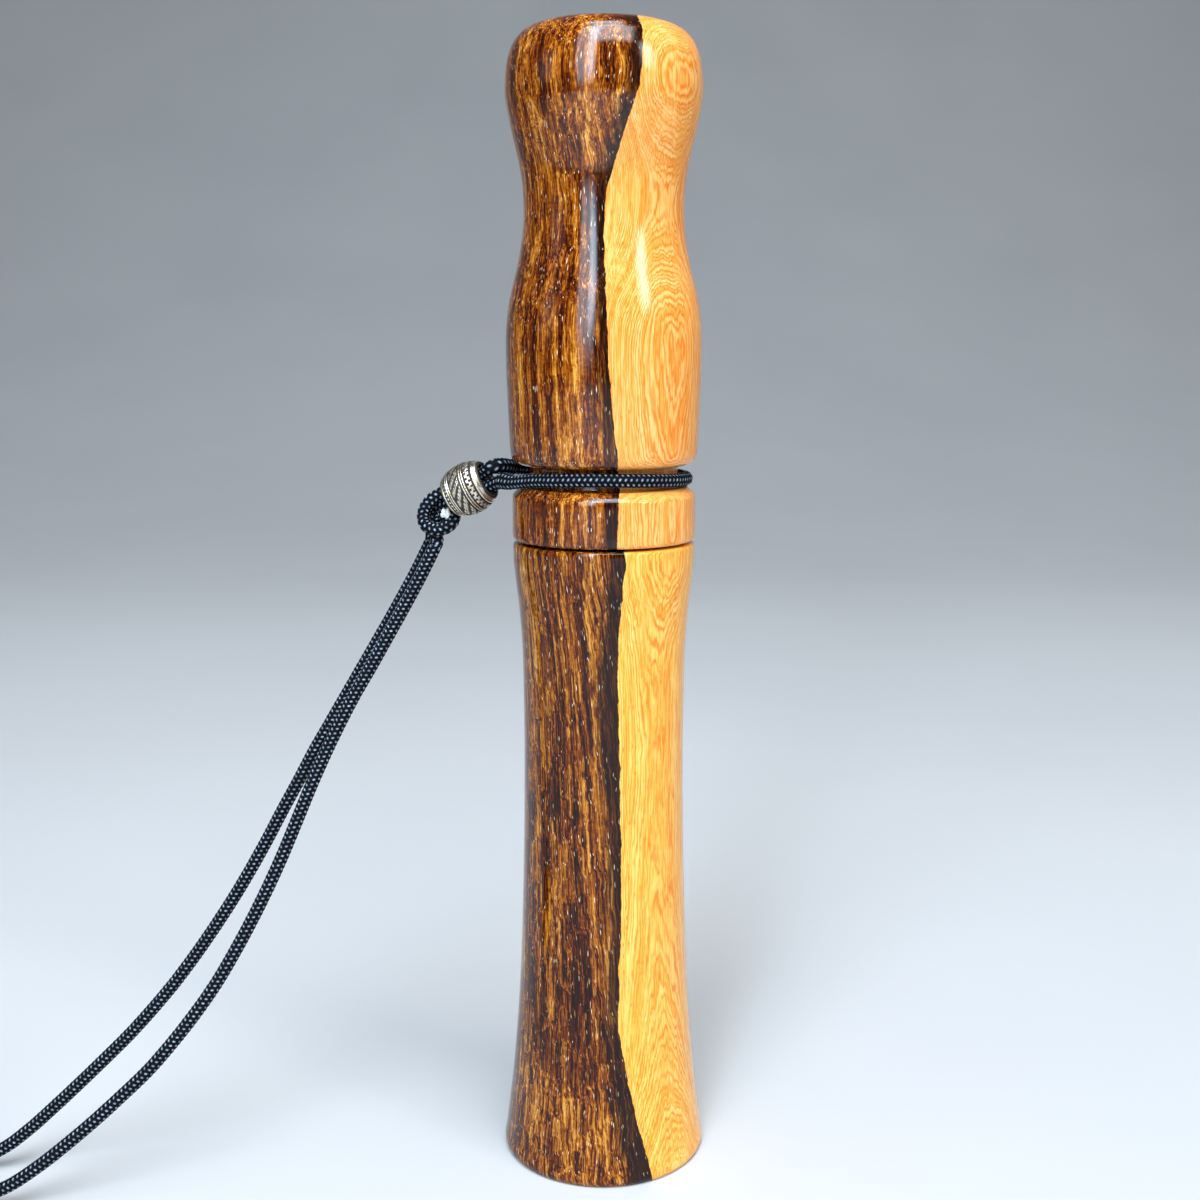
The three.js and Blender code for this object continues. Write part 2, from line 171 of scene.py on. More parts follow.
coil = coil_line()
lead_in = [(-114.2, -5.25, 1.0), (-119.0, -3.0, 1.0)]
lead_out = [(-118.7, -29.75, 6.2)]
ROUTE = np.vstack([
    catmull(STRAND_A + lead_in + [tuple(p) for p in coil[:3]], 10)[:-21],
    coil,
    catmull([tuple(p) for p in coil[-3:]] + lead_out + STRAND_B[::-1], 10)[21:],
])
ROUTE, ROUTE_S = resample(ROUTE, count=12001)
print("cord length mm", round(float(ROUTE_S[-1]), 1))
BRAID_PITCH = 0.78          # from one crossing to the next along the cord
BRAID_COLUMNS = 8           # crossings round it

# ---------------------------------------------------------------- node materials
class Mat:
    """A small hand for writing node materials."""

    def __init__(self, name):
        self.mat = bpy.data.materials.new(name)
        self.mat.use_nodes = True
        self.t = self.mat.node_tree
        self.t.nodes.clear()
        self.out = self.t.nodes.new("ShaderNodeOutputMaterial")
        self.bsdf = self.t.nodes.new("ShaderNodeBsdfPrincipled")
        self.t.links.new(self.bsdf.outputs[0], self.out.inputs["Surface"])

    def put(self, socket, value):
        if isinstance(value, bpy.types.NodeSocket):
            self.t.links.new(value, socket)
        elif hasattr(socket.default_value, "__len__"):
            if hasattr(value, "__len__"):
                v = list(value)
                if len(socket.default_value) == 4 and len(v) == 3:
                    v.append(1.0)
                socket.default_value = v
            else:
                socket.default_value = [value] * len(socket.default_value)
        else:
            socket.default_value = value

    def set(self, **values):
        for k, v in values.items():
            self.put(self.bsdf.inputs[k.replace("_", " ")], v)
        return self

    def math(self, op, a, b=0.0, c=None, clamp=False):
        n = self.t.nodes.new("ShaderNodeMath")
        n.operation = op
        n.use_clamp = clamp
        self.put(n.inputs[0], a)
        self.put(n.inputs[1], b)
        if c is not None:
            self.put(n.inputs[2], c)
        return n.outputs[0]

    def add(self, a, b):
        return self.math("ADD", a, b)

    def sub(self, a, b):
        return self.math("SUBTRACT", a, b)

    def mul(self, a, b):
        return self.math("MULTIPLY", a, b)

    def vmul(self, a, b):
        n = self.t.nodes.new("ShaderNodeVectorMath")
        n.operation = "MULTIPLY"
        self.put(n.inputs[0], a)
        self.put(n.inputs[1], b)
        return n.outputs[0]

    def vadd(self, a, b):
        n = self.t.nodes.new("ShaderNodeVectorMath")
        n.operation = "ADD"
        self.put(n.inputs[0], a)
        self.put(n.inputs[1], b)
        return n.outputs[0]

    def coords(self, kind="Object"):
        return self.t.nodes.new("ShaderNodeTexCoord").outputs[kind]

    def split(self, v):
        n = self.t.nodes.new("ShaderNodeSeparateXYZ")
        self.put(n.inputs[0], v)
        return n.outputs[0], n.outputs[1], n.outputs[2]

    def join(self, x, y, z):
        n = self.t.nodes.new("ShaderNodeCombineXYZ")
        for s, v in zip(n.inputs, (x, y, z)):
            self.put(s, v)
        return n.outputs[0]

    def attribute(self, name):
        n = self.t.nodes.new("ShaderNodeAttribute")
        n.attribute_name = name
        return n.outputs["Fac"]

    def noise(self, vector=None, scale=1.0, detail=2.0, rough=0.5, w=None, dims="3D", distortion=0.0):
        n = self.t.nodes.new("ShaderNodeTexNoise")
        n.noise_dimensions = dims
        if vector is not None:
            self.put(n.inputs["Vector"], vector)
        if w is not None:
            self.put(n.inputs["W"], w)
        n.inputs["Scale"].default_value = scale
        n.inputs["Detail"].default_value = detail
        n.inputs["Roughness"].default_value = rough
        n.inputs["Distortion"].default_value = distortion
        return n.outputs[0]

    def voronoi(self, vector, scale=1.0, feature="F1", randomness=1.0):
        n = self.t.nodes.new("ShaderNodeTexVoronoi")
        n.voronoi_dimensions = "3D"
        n.feature = feature
        self.put(n.inputs["Vector"], vector)
        n.inputs["Scale"].default_value = scale
        n.inputs["Randomness"].default_value = randomness
        return n

    def span(self, value, lo, hi, out_lo=0.0, out_hi=1.0, kind="LINEAR"):
        n = self.t.nodes.new("ShaderNodeMapRange")
        n.interpolation_type = kind
        n.clamp = True
        for s, v in zip((n.inputs["Value"], n.inputs["From Min"], n.inputs["From Max"], n.inputs["To Min"], n.inputs["To Max"]), (value, lo, hi, out_lo, out_hi)):
            self.put(s, v)
        return n.outputs[0]

    def smooth(self, value, lo, hi, out_lo=0.0, out_hi=1.0):
        return self.span(value, lo, hi, out_lo, out_hi, "SMOOTHSTEP")

    def mix(self, fac, a, b, blend="MIX"):
        n = self.t.nodes.new("ShaderNodeMix")
        n.data_type = "RGBA"
        n.blend_type = blend
        self.put(n.inputs[0], fac)
        self.put(n.inputs[6], a)
        self.put(n.inputs[7], b)
        return n.outputs[2]

    def blendf(self, fac, a, b):
        n = self.t.nodes.new("ShaderNodeMix")
        n.data_type = "FLOAT"
        self.put(n.inputs[0], fac)
        self.put(n.inputs[2], a)
        self.put(n.inputs[3], b)
        return n.outputs[0]

    def ramp(self, fac, stops, interpolation="LINEAR"):
        n = self.t.nodes.new("ShaderNodeValToRGB")
        n.color_ramp.interpolation = interpolation
        e = n.color_ramp.elements
        while len(e) > 1:
            e.remove(e[0])
        e[0].position, e[0].color = stops[0][0], (*stops[0][1], 1)
        for pos, col in stops[1:]:
            x = e.new(pos)
            x.color = (*col, 1)
        self.put(n.inputs[0], fac)
        return n.outputs[0]

    def bump(self, height, distance, strength=1.0, normal=None):
        n = self.t.nodes.new("ShaderNodeBump")
        n.inputs["Strength"].default_value = strength
        n.inputs["Distance"].default_value = distance
        self.put(n.inputs["Height"], height)
        if normal is not None:
            self.put(n.inputs["Normal"], normal)
        return n.outputs[0]


# ---------------------------------------------------------------- wood
def wood_material(name, seed, heart_tint, sap_tint, coat, contrast, run, lean):
    """One lacquered two-tone wood. Vertex values carry how far a point lies across the growth layers (ring, mm), how far it lies on the
    light side of the heartwood's edge (sap, mm), and how wide the black band along that edge is (band, mm)."""
    m = Mat(name)
    P = m.vadd(m.vmul(m.coords("Object"), (1000, 1000, 1000)), (seed * 13.7, seed * 7.3, seed * 31.1))
    ring = m.attribute("ring")
    sap = m.attribute("sap")
    band = m.attribute("band")

    # how the growth layers wander: fine waves along the fibres and slow ones
    fine = m.noise(m.vmul(P, (1.15, 1.15, 0.22)), 1.0, 2.0, 0.55)
    slow = m.noise(m.vmul(P, (0.22, 0.22, 0.035)), 1.0, 1.0, 0.5)
    R = m.add(ring, m.add(m.mul(m.sub(fine, 0.5), 0.30), m.mul(m.sub(slow, 0.5), 0.9)))
    R = m.add(R, seed * 3.3)

    # the edge between the two woods: crisp, with small steps along it
    step = m.noise(m.vmul(P, (0.5, 0.5, 0.42)), 1.0, 3.0, 0.6)
    edge = m.add(sap, m.mul(m.sub(step, 0.5), 0.7))
    light = m.smooth(edge, -0.06, 0.06)

    # ---- sapwood: pale ground, orange layers, darker patches, short pores
    wob = m.noise(None, 1.6, 2.0, 0.5, w=R, dims="1D")
    phase = m.add(m.mul(R, TAU / 0.160), m.mul(wob, 9.0))
    wave = m.add(m.mul(m.math("SINE", phase), 0.5), 0.5)
    lines = m.math("POWER", wave, 2.3)
    strength = m.noise(m.vmul(P, (0.5, 0.5, 0.12)), 1.0, 2.0, 0.6)
    lines = m.mul(lines, m.span(strength, 0.34, 0.58, 0.30, 1.0))
    broad = m.noise(None, 2.3, 3.0, 0.62, w=R, dims="1D")
    patch = m.noise(m.vmul(P, (0.34, 0.34, 0.06)), 1.0, 3.0, 0.6)
    fibre = m.noise(m.vmul(P, (4.2, 4.2, 0.26)), 1.0, 3.0, 0.62)
    tone_s = m.add(m.mul(m.sub(broad, 0.5), 0.9), m.mul(m.sub(fibre, 0.5), 1.5))
    ground = m.ramp(m.add(tone_s, 0.5), [
        (0.16, (0.84, 0.30, 0.030)), (0.38, (0.92, 0.455, 0.078)), (0.58, (0.955, 0.60, 0.165)), (0.84, (0.97, 0.70, 0.27))])
    ground = m.mix(m.span(patch, 0.50, 0.70, 0.0, 0.65), ground, (0.90, 0.40, 0.055))
    sapc = m.mix(m.mul(lines, 0.97), ground, (0.84, 0.245, 0.016))
    sapc = m.mix(1.0, sapc, sap_tint, "MULTIPLY")
    pv = m.voronoi(m.vmul(P, (2.3, 2.3, 0.50)), 1.0)
    pick = m.split(pv.outputs["Color"])[0]
    pore = m.mul(m.smooth(pv.outputs["Distance"], 0.27, 0.12), m.span(pick, 0.62, 0.66))
    near_edge = m.span(sap, 0.0, 7.0, 1.0, 0.35)
    sapc = m.mix(m.mul(m.mul(pore, 0.8), near_edge), sapc, (0.50, 0.13, 0.014))

    # ---- heartwood: golden brown, darker and lighter along the fibres, with many wavy pores, black along its edge
    bend = m.mul(m.sub(m.noise(m.vmul(P, (0.25, 0.25, 0.22)), 1.0, 2.0, 0.55), 0.5), 1.6)
    PB = m.vadd(P, m.join(m.add(bend, m.mul(m.split(P)[2], lean)), m.mul(bend, 0.6), 0.0))
    zone = m.noise(m.vmul(PB, (0.30, 0.30, 0.045 * run)), 1.0, 3.0, 0.55)
    streak = m.noise(m.vmul(PB, (1.25, 1.25, 0.055 * run)), 1.0, 4.0, 0.62)
    grain = m.noise(m.vmul(PB, (4.4, 4.4, 0.20 * run)), 1.0, 3.0, 0.65)
    ripple = m.noise(m.vmul(PB, (1.3, 1.3, 2.4)), 1.0, 2.0, 0.6)
    hb = m.noise(None, 0.75, 4.0, 0.6, w=m.add(R, 40.0), dims="1D")
    dev = m.add(m.mul(m.sub(zone, 0.5), 0.85), m.add(m.mul(m.sub(streak, 0.5), 1.30), m.mul(m.sub(grain, 0.5), 1.35)))
    dev = m.add(dev, m.add(m.mul(m.sub(ripple, 0.5), 0.40 * run), m.mul(m.sub(hb, 0.5), 0.35)))
    heart = m.ramp(m.add(m.mul(dev, contrast), 0.5), [
        (0.11, (0.016, 0.0021, 0.0003)), (0.31, (0.064, 0.0092, 0.0006)), (0.48, (0.158, 0.0320, 0.0012)),
        (0.61, (0.300, 0.0850, 0.0042)), (0.79, (0.530, 0.2100, 0.0230)), (0.96, (0.78, 0.43, 0.105))])
    heart = m.mix(1.0, heart, heart_tint, "MULTIPLY")
    near = m.add(m.add(sap, band), m.mul(m.sub(m.noise(m.vmul(P, (1.5, 1.5, 0.07)), 1.0, 3.0, 0.65), 0.5), 5.0))
    dark = m.smooth(near, -1.5, 0.9)
    black = m.ramp(m.add(m.mul(grain, 0.5), m.mul(streak, 0.5)), [(0.36, (0.0030, 0.0008, 0.0006)), (0.50, (0.012, 0.0022, 0.0010)), (0.60, (0.050, 0.010, 0.0020)), (0.72, (0.150, 0.040, 0.0045))])
    heart = m.mix(m.mul(dark, 0.96), heart, black)
    # pores: thin dashes along the fibres, most of them dark; beside some a lighter golden dash is a painted highlight
    # on the pore's rim
    pores = None
    for k, (fx, fz, lim, share, deepness) in enumerate(((2.5, 0.20, 0.29, 0.46, 0.95), (4.2, 0.34, 0.32, 0.44, 0.80))):
        v1 = m.voronoi(m.vadd(m.vmul(PB, (fx, fx, fz)), (k * 9.1, k * 4.3, 0.0)), 1.0)
        c1, c2, c3 = m.split(v1.outputs["Color"])
        one = m.mul(m.mul(m.smooth(v1.outputs["Distance"], lim, lim * 0.45), m.span(c1, 1 - share, 1 - share + 0.03)), m.span(c2, 0.0, 1.0, 0.35, deepness))
        pores = one if pores is None else m.math("MAXIMUM", pores, one)
        v2 = m.voronoi(m.vadd(m.vmul(PB, (fx, fx, fz)), (k * 9.1 + 0.42, k * 4.3 - 0.30, 0.05)), 1.0)
        d1, d2, d3 = m.split(v2.outputs["Color"])
        # painted highlight: a golden dash beside some pores, where their rim would catch the light
        painted_rim_glint = m.mul(m.mul(m.smooth(v2.outputs["Distance"], lim * 0.85, lim * 0.3), m.span(d1, 0.74, 0.77)), m.span(d3, 0.0, 1.0, 0.2, 0.75))
        heart = m.mix(m.mul(painted_rim_glint, m.span(dark, 0.0, 1.0, 1.0, 0.15)), heart, (0.62, 0.30, 0.065))
    heart = m.mix(pores, heart, (0.012, 0.0024, 0.0010))
    # painted glints: a few short pores get a near white dash, standing for light caught in them
    hv = m.voronoi(m.vmul(PB, (4.0, 4.0, 0.40)), 1.0)
    hp, hq, hr = m.split(hv.outputs["Color"])
    pale = m.mul(m.mul(m.smooth(hv.outputs["Distance"], 0.25, 0.12), m.span(hp, 0.58, 0.60)), m.span(dark, 0.0, 1.0, 1.0, 0.60))
    # the near white colour mixed in here is a painted glint
    heart = m.mix(m.mul(pale, m.math("POWER", hr, 0.9)), heart, (1.0, 0.80, 0.54))

    colour = m.mix(light, heart, sapc)
    height = m.add(m.mul(m.mul(pores, m.sub(1.0, light)), -1.0), m.mul(grain, 0.25))
    m.set(Base_Color=colour, Roughness=0.55, IOR=1.45, Coat_Weight=1.0, Coat_Roughness=0.06, Coat_IOR=coat, Specular_IOR_Level=0.0,
          Normal=m.bump(height, 0.00004, 0.35))
    return m.mat


def rounded(points, steps=4):
    """A polyline of (r, z) or (r, z, fillet) with its marked corners rounded."""
    out = []
    n = len(points)
    for i, p in enumerate(points):
        q = np.array(p[:2], float)
        rad = p[2] if len(p) > 2 else 0.0
        if rad <= 0 or i in (0, n - 1):
            out.append(q)
            continue
        a = np.array(points[i - 1][:2], float) - q
        b = np.array(points[i + 1][:2], float) - q
        la, lb = np.linalg.norm(a), np.linalg.norm(b)
        a /= la
        b /= lb
        cut = min(rad, 0.45 * la, 0.45 * lb)
        p0, p2 = q + a * cut, q + b * cut
        for t in np.linspace(0, 1, steps + 1):
            out.append((1 - t) ** 2 * p0 + 2 * t * (1 - t) * q + t * t * p2)
    return [tuple(v) for v in out]


def spline2(points, steps):
    return [(p[0], p[1]) for p in catmull([(r, z, 0.0) for r, z in points], steps)]


def revolve(section, segments):
    """A closed ring of section (r, z) points turned about Z, in millimetres."""
    S = np.array(section, float)
    keep = np.r_[True, np.linalg.norm(np.diff(S, axis=0), axis=1) > 1e-4]
    S = S[keep]
    if np.linalg.norm(S[0] - S[-1]) < 1e-4:
        S = S[:-1]
    n = len(S)
    a = TAU * np.arange(segments) / segments
    V = np.stack([np.outer(np.cos(a), S[:, 0]), np.outer(np.sin(a), S[:, 0]), np.tile(S[:, 1], (segments, 1))], -1).reshape(-1, 3)
    F = []
    for i in range(segments):
        j = (i + 1) % segments
        for k in range(n):
            m_ = (k + 1) % n
            F.append((i * n + k, j * n + k, j * n + m_, i * n + m_))
    # faces out: the signed volume is positive
    T = np.array(F)
    A, B, C, D = (V[T[:, q]] for q in range(4))
    vol = (np.einsum("ij,ij->i", A, np.cross(B, C)) + np.einsum("ij,ij->i", A, np.cross(C, D))).sum()
    if vol < 0:
        F = [f[::-1] for f in F]
    return V, F


def sharpen(ob, degrees=38):
    """Keeps edges above an angle crisp under smooth shading."""
    bm = bmesh.new()
    bm.from_mesh(ob.data)
    for e in bm.edges:
        if len(e.link_faces) == 2 and e.calc_face_angle(0.0) > math.radians(degrees):
            e.smooth = False
    bm.to_mesh(ob.data)
    bm.free()


BARREL_OUTSIDE = [
    (5.35, 172.9), (7.0, 172.85), (8.6, 172.64), (10.0, 172.32), (11.3, 171.83), (12.2, 171.2), (12.95, 170.38), (13.5, 169.4),
    (14.05, 167.7), (14.34, 165.6), (14.43, 163.6), (14.25, 161.6), (13.87, 159.6), (13.3, 157.0), (12.7, 154.55),
    (12.2, 152.1), (11.92, 149.6), (11.83, 146.8), (11.97, 143.8), (12.4, 140.85), (13.1, 137.6), (13.83, 134.72),
    (14.3, 132.1), (14.55, 129.5), (14.62, 126.56), (14.58, 123.2), (14.44, 119.3), (14.28, 115.1), (14.1, 111.6),
    (13.95, 110.75), (13.6, 110.12), (12.9, 109.72), (12.3, 109.6),
]
RING_OUTSIDE = [(12.3, 106.35), (12.56, 106.30), (12.80, 106.12), (13.20, 105.74), (13.56, 105.36), (13.74, 105.10), (13.82, 104.75), (13.84, 104.2), (13.85, 102.5), (13.87, 100.5), (13.87, 98.95), (13.8, 98.6), (13.55, 98.32)]
BELL_OUTSIDE = [
    (13.3, 97.86), (13.62, 97.74), (13.77, 97.4), (13.76, 96.2), (13.74, 94.9), (13.53, 92.7), (13.06, 88.56), (12.72, 84.6), (12.5, 80.4), (12.41, 75.3),
    (12.36, 69.0), (12.38, 62.0), (12.49, 54.0), (12.7, 44.6), (12.98, 36.0), (13.34, 27.7), (13.88, 19.8),
    (14.52, 12.53), (15.1, 7.59), (15.72, 2.8), (15.94, 1.5), (15.9, 0.75), (15.62, 0.2), (15.1, 0.0),
]
BARREL_SECTION = (
    rounded([(4.8, 166.5), (4.8, 171.7)]) + [(4.86, 172.25), (5.05, 172.68)] + spline2(BARREL_OUTSIDE, 4)
    + rounded([(12.3, 109.6), (11.2, 109.6, 0.35), (11.2, 106.35, 0.35), (12.3, 106.35)]) + spline2(RING_OUTSIDE, 3)
    + rounded([(13.55, 98.32), (13.3, 98.3), (9.75, 98.3, 0.2), (9.25, 98.9, 0.2), (9.25, 118.6), (7.95, 118.6, 0.2), (7.95, 163.0, 0.3), (4.8, 166.5)])
)
TENON_GROOVE = lambda z: [(9.0, z + 1.0, 0.1), (7.8, z + 1.0, 0.15), (7.8, z - 1.0, 0.15), (9.0, z - 1.0, 0.1)]
BELL_SECTION = (
    rounded([(6.9, 116.4), (8.5, 116.4, 0.15), (9.0, 115.9, 0.15)] + TENON_GROOVE(111.2) + TENON_GROOVE(102.2) + [(9.0, 97.86, 0.25), (13.3, 97.86)])
    + spline2(BELL_OUTSIDE, 4)
    + rounded([(15.1, 0.0), (12.7, 0.0, 0.2), (12.25, 0.35, 0.2)])
    + spline2([(12.25, 0.35), (11.4, 2.2), (9.9, 6.0), (8.3, 12.5), (7.0, 21.0), (6.1, 32.0), (5.6, 45.0)], 3)
    + rounded([(5.6, 45.0), (5.6, 93.1), (6.5, 93.1, 0.1), (6.5, 116.0), (6.9, 116.4)])
)


def densify(section, longest=2.5):
    out = [section[0]]
    for a, b in zip(section[:-1], section[1:]):
        d = math.hypot(b[0] - a[0], b[1] - a[1])
        k = max(1, int(math.ceil(d / longest)))
        for i in range(1, k + 1):
            out.append((a[0] + (b[0] - a[0]) * i / k, a[1] + (b[1] - a[1]) * i / k))
    return out


# the heartwood's edge on the front, as an angle from the front towards the right, down each piece; and the black band's width
EDGE_UPPER = [
    (98.3, 7.4), (99.8, 7.6), (102.6, 8.3), (104.1, 8.8), (106, 8.5), (110.9, 8.1), (112.6, 7.5), (115.5, 5.6), (118.3, 4.5), (121.1, 3.9), (123.8, 2.9),
    (126.6, 2.2), (129.4, 2.0), (132.1, 1.7), (134.8, 1.2), (137, 0.9), (141, 0.2), (146, 0.3), (148.6, 1.8), (149.9, 3.3),
    (151.2, 5.1), (152.5, 7.0), (153.8, 8.8), (155.1, 10.4), (156.4, 12.1), (157.7, 13.6), (159, 15.1), (160.3, 17.1),
    (161.6, 18.6), (162.9, 19.6), (164.2, 20.3), (166.5, 21.2), (169.6, 22.3), (173, 23.5),
]
EDGE_LOWER = [
    (0, 27.8), (1.4, 26.6), (3.8, 25.2), (7, 22.7), (10.3, 19.5), (13.5, 17.2), (16.8, 14.4), (20, 12.5), (23.2, 10.4), (26.3, 9.0), (29.4, 9.9),
    (32.6, 9.9), (35.7, 10.5), (38.9, 11.5), (45, 11.8), (52, 11.8), (60, 11.3), (66.8, 10.8), (72, 10.0), (76.9, 9.3), (80, 9.5),
    (84.9, 9.7), (87.9, 10.5), (90.2, 11.2), (92.4, 11.3), (94.6, 12.4), (96.1, 12.9), (97.9, 12.3), (117, 12.0),
]
BAND_UPPER = [(98, 1.2), (112, 1.2), (128, 1.1), (135, 1.6), (143, 2.2), (150, 1.9), (157, 1.5), (165, 1.5), (173, 1.6)]
BAND_LOWER = [(0, 3.4), (8, 3.2), (18, 2.3), (30, 1.6), (45, 1.5), (58, 2.0), (68, 2.7), (80, 2.8), (90, 2.3), (98, 1.5), (117, 1.5)]
FIGURE_UPPER = [(98, 43), (110, 42), (130, 42), (142, 46), (150, 48), (173, 48)]
FIGURE_LOWER = [(0, 46), (20, 45), (60, 42), (84, 39), (97, 43), (117, 43)]
ENVELOPE = [(r, z) for r, z in BARREL_OUTSIDE if r > 10.5] + [(13.9, 109), (13.9, 98)]


def table(z, rows):
    rows = sorted(rows)
    return np.interp(z, [a for a, _ in rows], [b for _, b in rows])


def wood_values(ob, V, outside, edge, band, figure):
    """V in millimetres. The outside gives the piece's own radius at each height."""
    x, y, z = V[:, 0], V[:, 1], V[:, 2]
    radius = np.maximum(table(z, [(b, a) for a, b in outside]), 10.5)
    xb = radius * np.sin(np.radians(table(z, edge)))
    al = np.radians(table(z, figure))
    float_attribute(ob, "ring", x * np.sin(al) - y * np.cos(al))
    # the edge runs a little askew through the blank, so that the back isn't the front's mirror image
    float_attribute(ob, "sap", x - xb - 0.10 * (y + radius))
    float_attribute(ob, "band", table(z, band))


WOOD_UPPER = wood_material("barrel_wood", 1.0, (0.88, 0.75, 0.52), (0.935, 0.765, 0.73), 1.47, 1.15, 0.8, 0.03)
WOOD_LOWER = wood_material("bell_wood", 2.0, (0.72, 0.59, 0.34), (0.96, 0.88, 0.64), 1.36, 1.55, 0.5, 0.09)


def wooden(name, section, material, outside, edge, band, figure, node, segments=200):
    V, F = revolve(densify(section), segments)
    ob = mesh_object(name, V * MM, F, material)
    wood_values(ob, V, outside, edge, band, figure)
    sharpen(ob)
    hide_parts(node)
    return ob


barrel = wooden("barrel_turning", BARREL_SECTION, WOOD_UPPER, ENVELOPE, EDGE_UPPER, BAND_UPPER, FIGURE_UPPER, "mouthpiece_barrel")
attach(barrel, "mouthpiece_barrel")
bell = wooden("bell_turning", BELL_SECTION, WOOD_LOWER, [(r, z) for r, z in BELL_OUTSIDE if z > 0.5] + [(15.9, 0.0), (13.5, 117.0)], EDGE_LOWER, BAND_LOWER, FIGURE_LOWER, "exhaust_bell")
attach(bell, "exhaust_bell")

# ---------------------------------------------------------------- the braided cord
def crossing(u, v):
    """How high the braid stands at column u and pitch v, from 0 in the gaps to 1 on a crossing."""
    col = np.round(u)
    side = np.mod(col, 2.0)
    du = u - col
    vv = v + 0.5 * side + (2 * side - 1) * 0.32 * du
    return np.cos(math.pi * du) ** 0.7 * (0.5 + 0.5 * np.cos(TAU * vv)) ** 0.6


def braid_tube(name, P, material, radius=CORD_R, sides=24, relief=0.12, taper=(0, 0), phase=0.0, swell=None):
    """A closed tube along P (mm) with the crossings of a round braid; taper gives how many rings narrow at each end."""
    n = len(P)
    T, N, B = frames_along(P)
    S = np.r_[0, np.cumsum(np.linalg.norm(np.diff(P, axis=0), axis=1))] + phase
    th = TAU * np.arange(sides) / sides
    U = np.tile(th / TAU * BRAID_COLUMNS, (n, 1))
    Vp = np.tile((S / BRAID_PITCH)[:, None], (1, sides))
    R = radius * (1.0 - relief * 0.62 + relief * crossing(U, Vp))
    if swell is not None:
        R *= swell(P)[:, None]
    for end, k in enumerate(taper):
        for i in range(k):
            f = 0.80 + 0.20 * i / k
            R[i if end == 0 else n - 1 - i] *= f
    V = P[:, None, :] + R[..., None] * (np.cos(th)[None, :, None] * N[:, None, :] + np.sin(th)[None, :, None] * B[:, None, :])
    V = V.reshape(-1, 3)
    # rounded ends
    verts = [V]
    first, last = len(V), len(V) + 1
    verts.append((P[0] - T[0] * radius * 0.35)[None])
    verts.append((P[-1] + T[-1] * radius * 0.35)[None])
    V = np.vstack(verts)
    i = np.arange(n - 1)[:, None] * sides
    k = np.arange(sides)[None, :]
    k2 = (k + 1) % sides
    quads = np.stack([i + k, i + k2, i + sides + k2, i + sides + k], -1).reshape(-1, 4)
    caps = [(first, (j + 1) % sides, j) for j in range(sides)]
    base = (n - 1) * sides
    caps += [(last, base + j, base + (j + 1) % sides) for j in range(sides)]
    ob = mesh_object(name, V * MM, quads.tolist() + caps, material)
    # the braid's own coordinates on each face corner: column round the cord, pitch along it
    uq = np.stack(np.broadcast_arrays(k / sides * BRAID_COLUMNS, (k + 1) / sides * BRAID_COLUMNS, (k + 1) / sides * BRAID_COLUMNS, k / sides * BRAID_COLUMNS), -1)
    uq = np.broadcast_to(uq, (n - 1, sides, 4)).reshape(-1)
    sp = S / BRAID_PITCH
    vq = np.stack([sp[:-1], sp[:-1], sp[1:], sp[1:]], -1)
    vq = np.broadcast_to(vq[:, None, :], (n - 1, sides, 4)).reshape(-1)
    uc = np.concatenate([[0.0, (j + 1) / sides * BRAID_COLUMNS, j / sides * BRAID_COLUMNS] for j in range(sides)] + [[0.0, j / sides * BRAID_COLUMNS, (j + 1) / sides * BRAID_COLUMNS] for j in range(sides)])
    vc = np.concatenate([np.full(3 * sides, sp[0]), np.full(3 * sides, sp[-1])])
    layer = ob.data.uv_layers.new(name="braid")
    layer.uv.foreach_set("vector", np.stack([np.r_[uq, uc], np.r_[vq, vc]], -1).astype(np.float32).ravel())
    return ob


def cord_material():
    m = Mat("cord_braid")
    uv = m.t.nodes.new("ShaderNodeUVMap")
    uv.uv_map = "braid"
    u, v, _ = m.split(uv.outputs[0])
    col = m.math("ROUND", u)
    side = m.math("FLOORED_MODULO", col, 2.0)
    du = m.sub(u, col)
    sign = m.sub(m.mul(side, 2.0), 1.0)
    vv = m.add(m.add(v, m.mul(side, 0.5)), m.mul(m.mul(sign, 0.32), du))
    across = m.math("COSINE", m.mul(du, math.pi))
    along = m.add(m.mul(m.math("COSINE", m.mul(vv, TAU)), 0.5), 0.5)
    crest = m.mul(m.math("POWER", m.math("MAXIMUM", across, 0.0), 0.9), m.math("POWER", along, 0.9))
    # the painted glint on each crossing is a little stronger or weaker from crossing to crossing
    white = m.t.nodes.new("ShaderNodeTexWhiteNoise")
    white.noise_dimensions = "2D"
    m.put(white.inputs["Vector"], m.join(col, m.math("ROUND", vv), 0.0))
    one = white.outputs["Value"]
    # single filaments, lying along each crossing
    fil = m.math("SINE", m.mul(m.add(m.mul(du, 9.0), m.mul(m.mul(sign, -1.6), vv)), TAU))
    fuzz = m.noise(m.vmul(m.coords("Object"), (1000, 1000, 1000)), 2.6, 3.0, 0.6)
    # the pale bluish colour on the crests is a painted glint, the light shiny nylon would catch; the gaps keep the
    # cord's own near black
    painted_glint = m.mul(m.smooth(crest, 0.52, 0.98), m.span(one, 0.0, 1.0, 0.45, 1.0))
    shade = m.mul(m.add(0.80, m.mul(fil, 0.20)), m.span(fuzz, 0.3, 0.7, 0.75, 1.1))
    colour = m.mix(m.mul(painted_glint, shade), (0.0020, 0.0025, 0.0050), (0.50, 0.62, 0.76))
    height = m.add(m.mul(crest, 1.0), m.add(m.mul(m.mul(fil, crest), 0.16), m.mul(fuzz, 0.10)))
    m.set(Base_Color=colour, Roughness=m.span(crest, 0.2, 1.0, 0.70, 0.38), IOR=1.5, Specular_IOR_Level=0.10,
          Normal=m.bump(height, 0.00012, 0.8))
    return m.mat


CORD = cord_material()

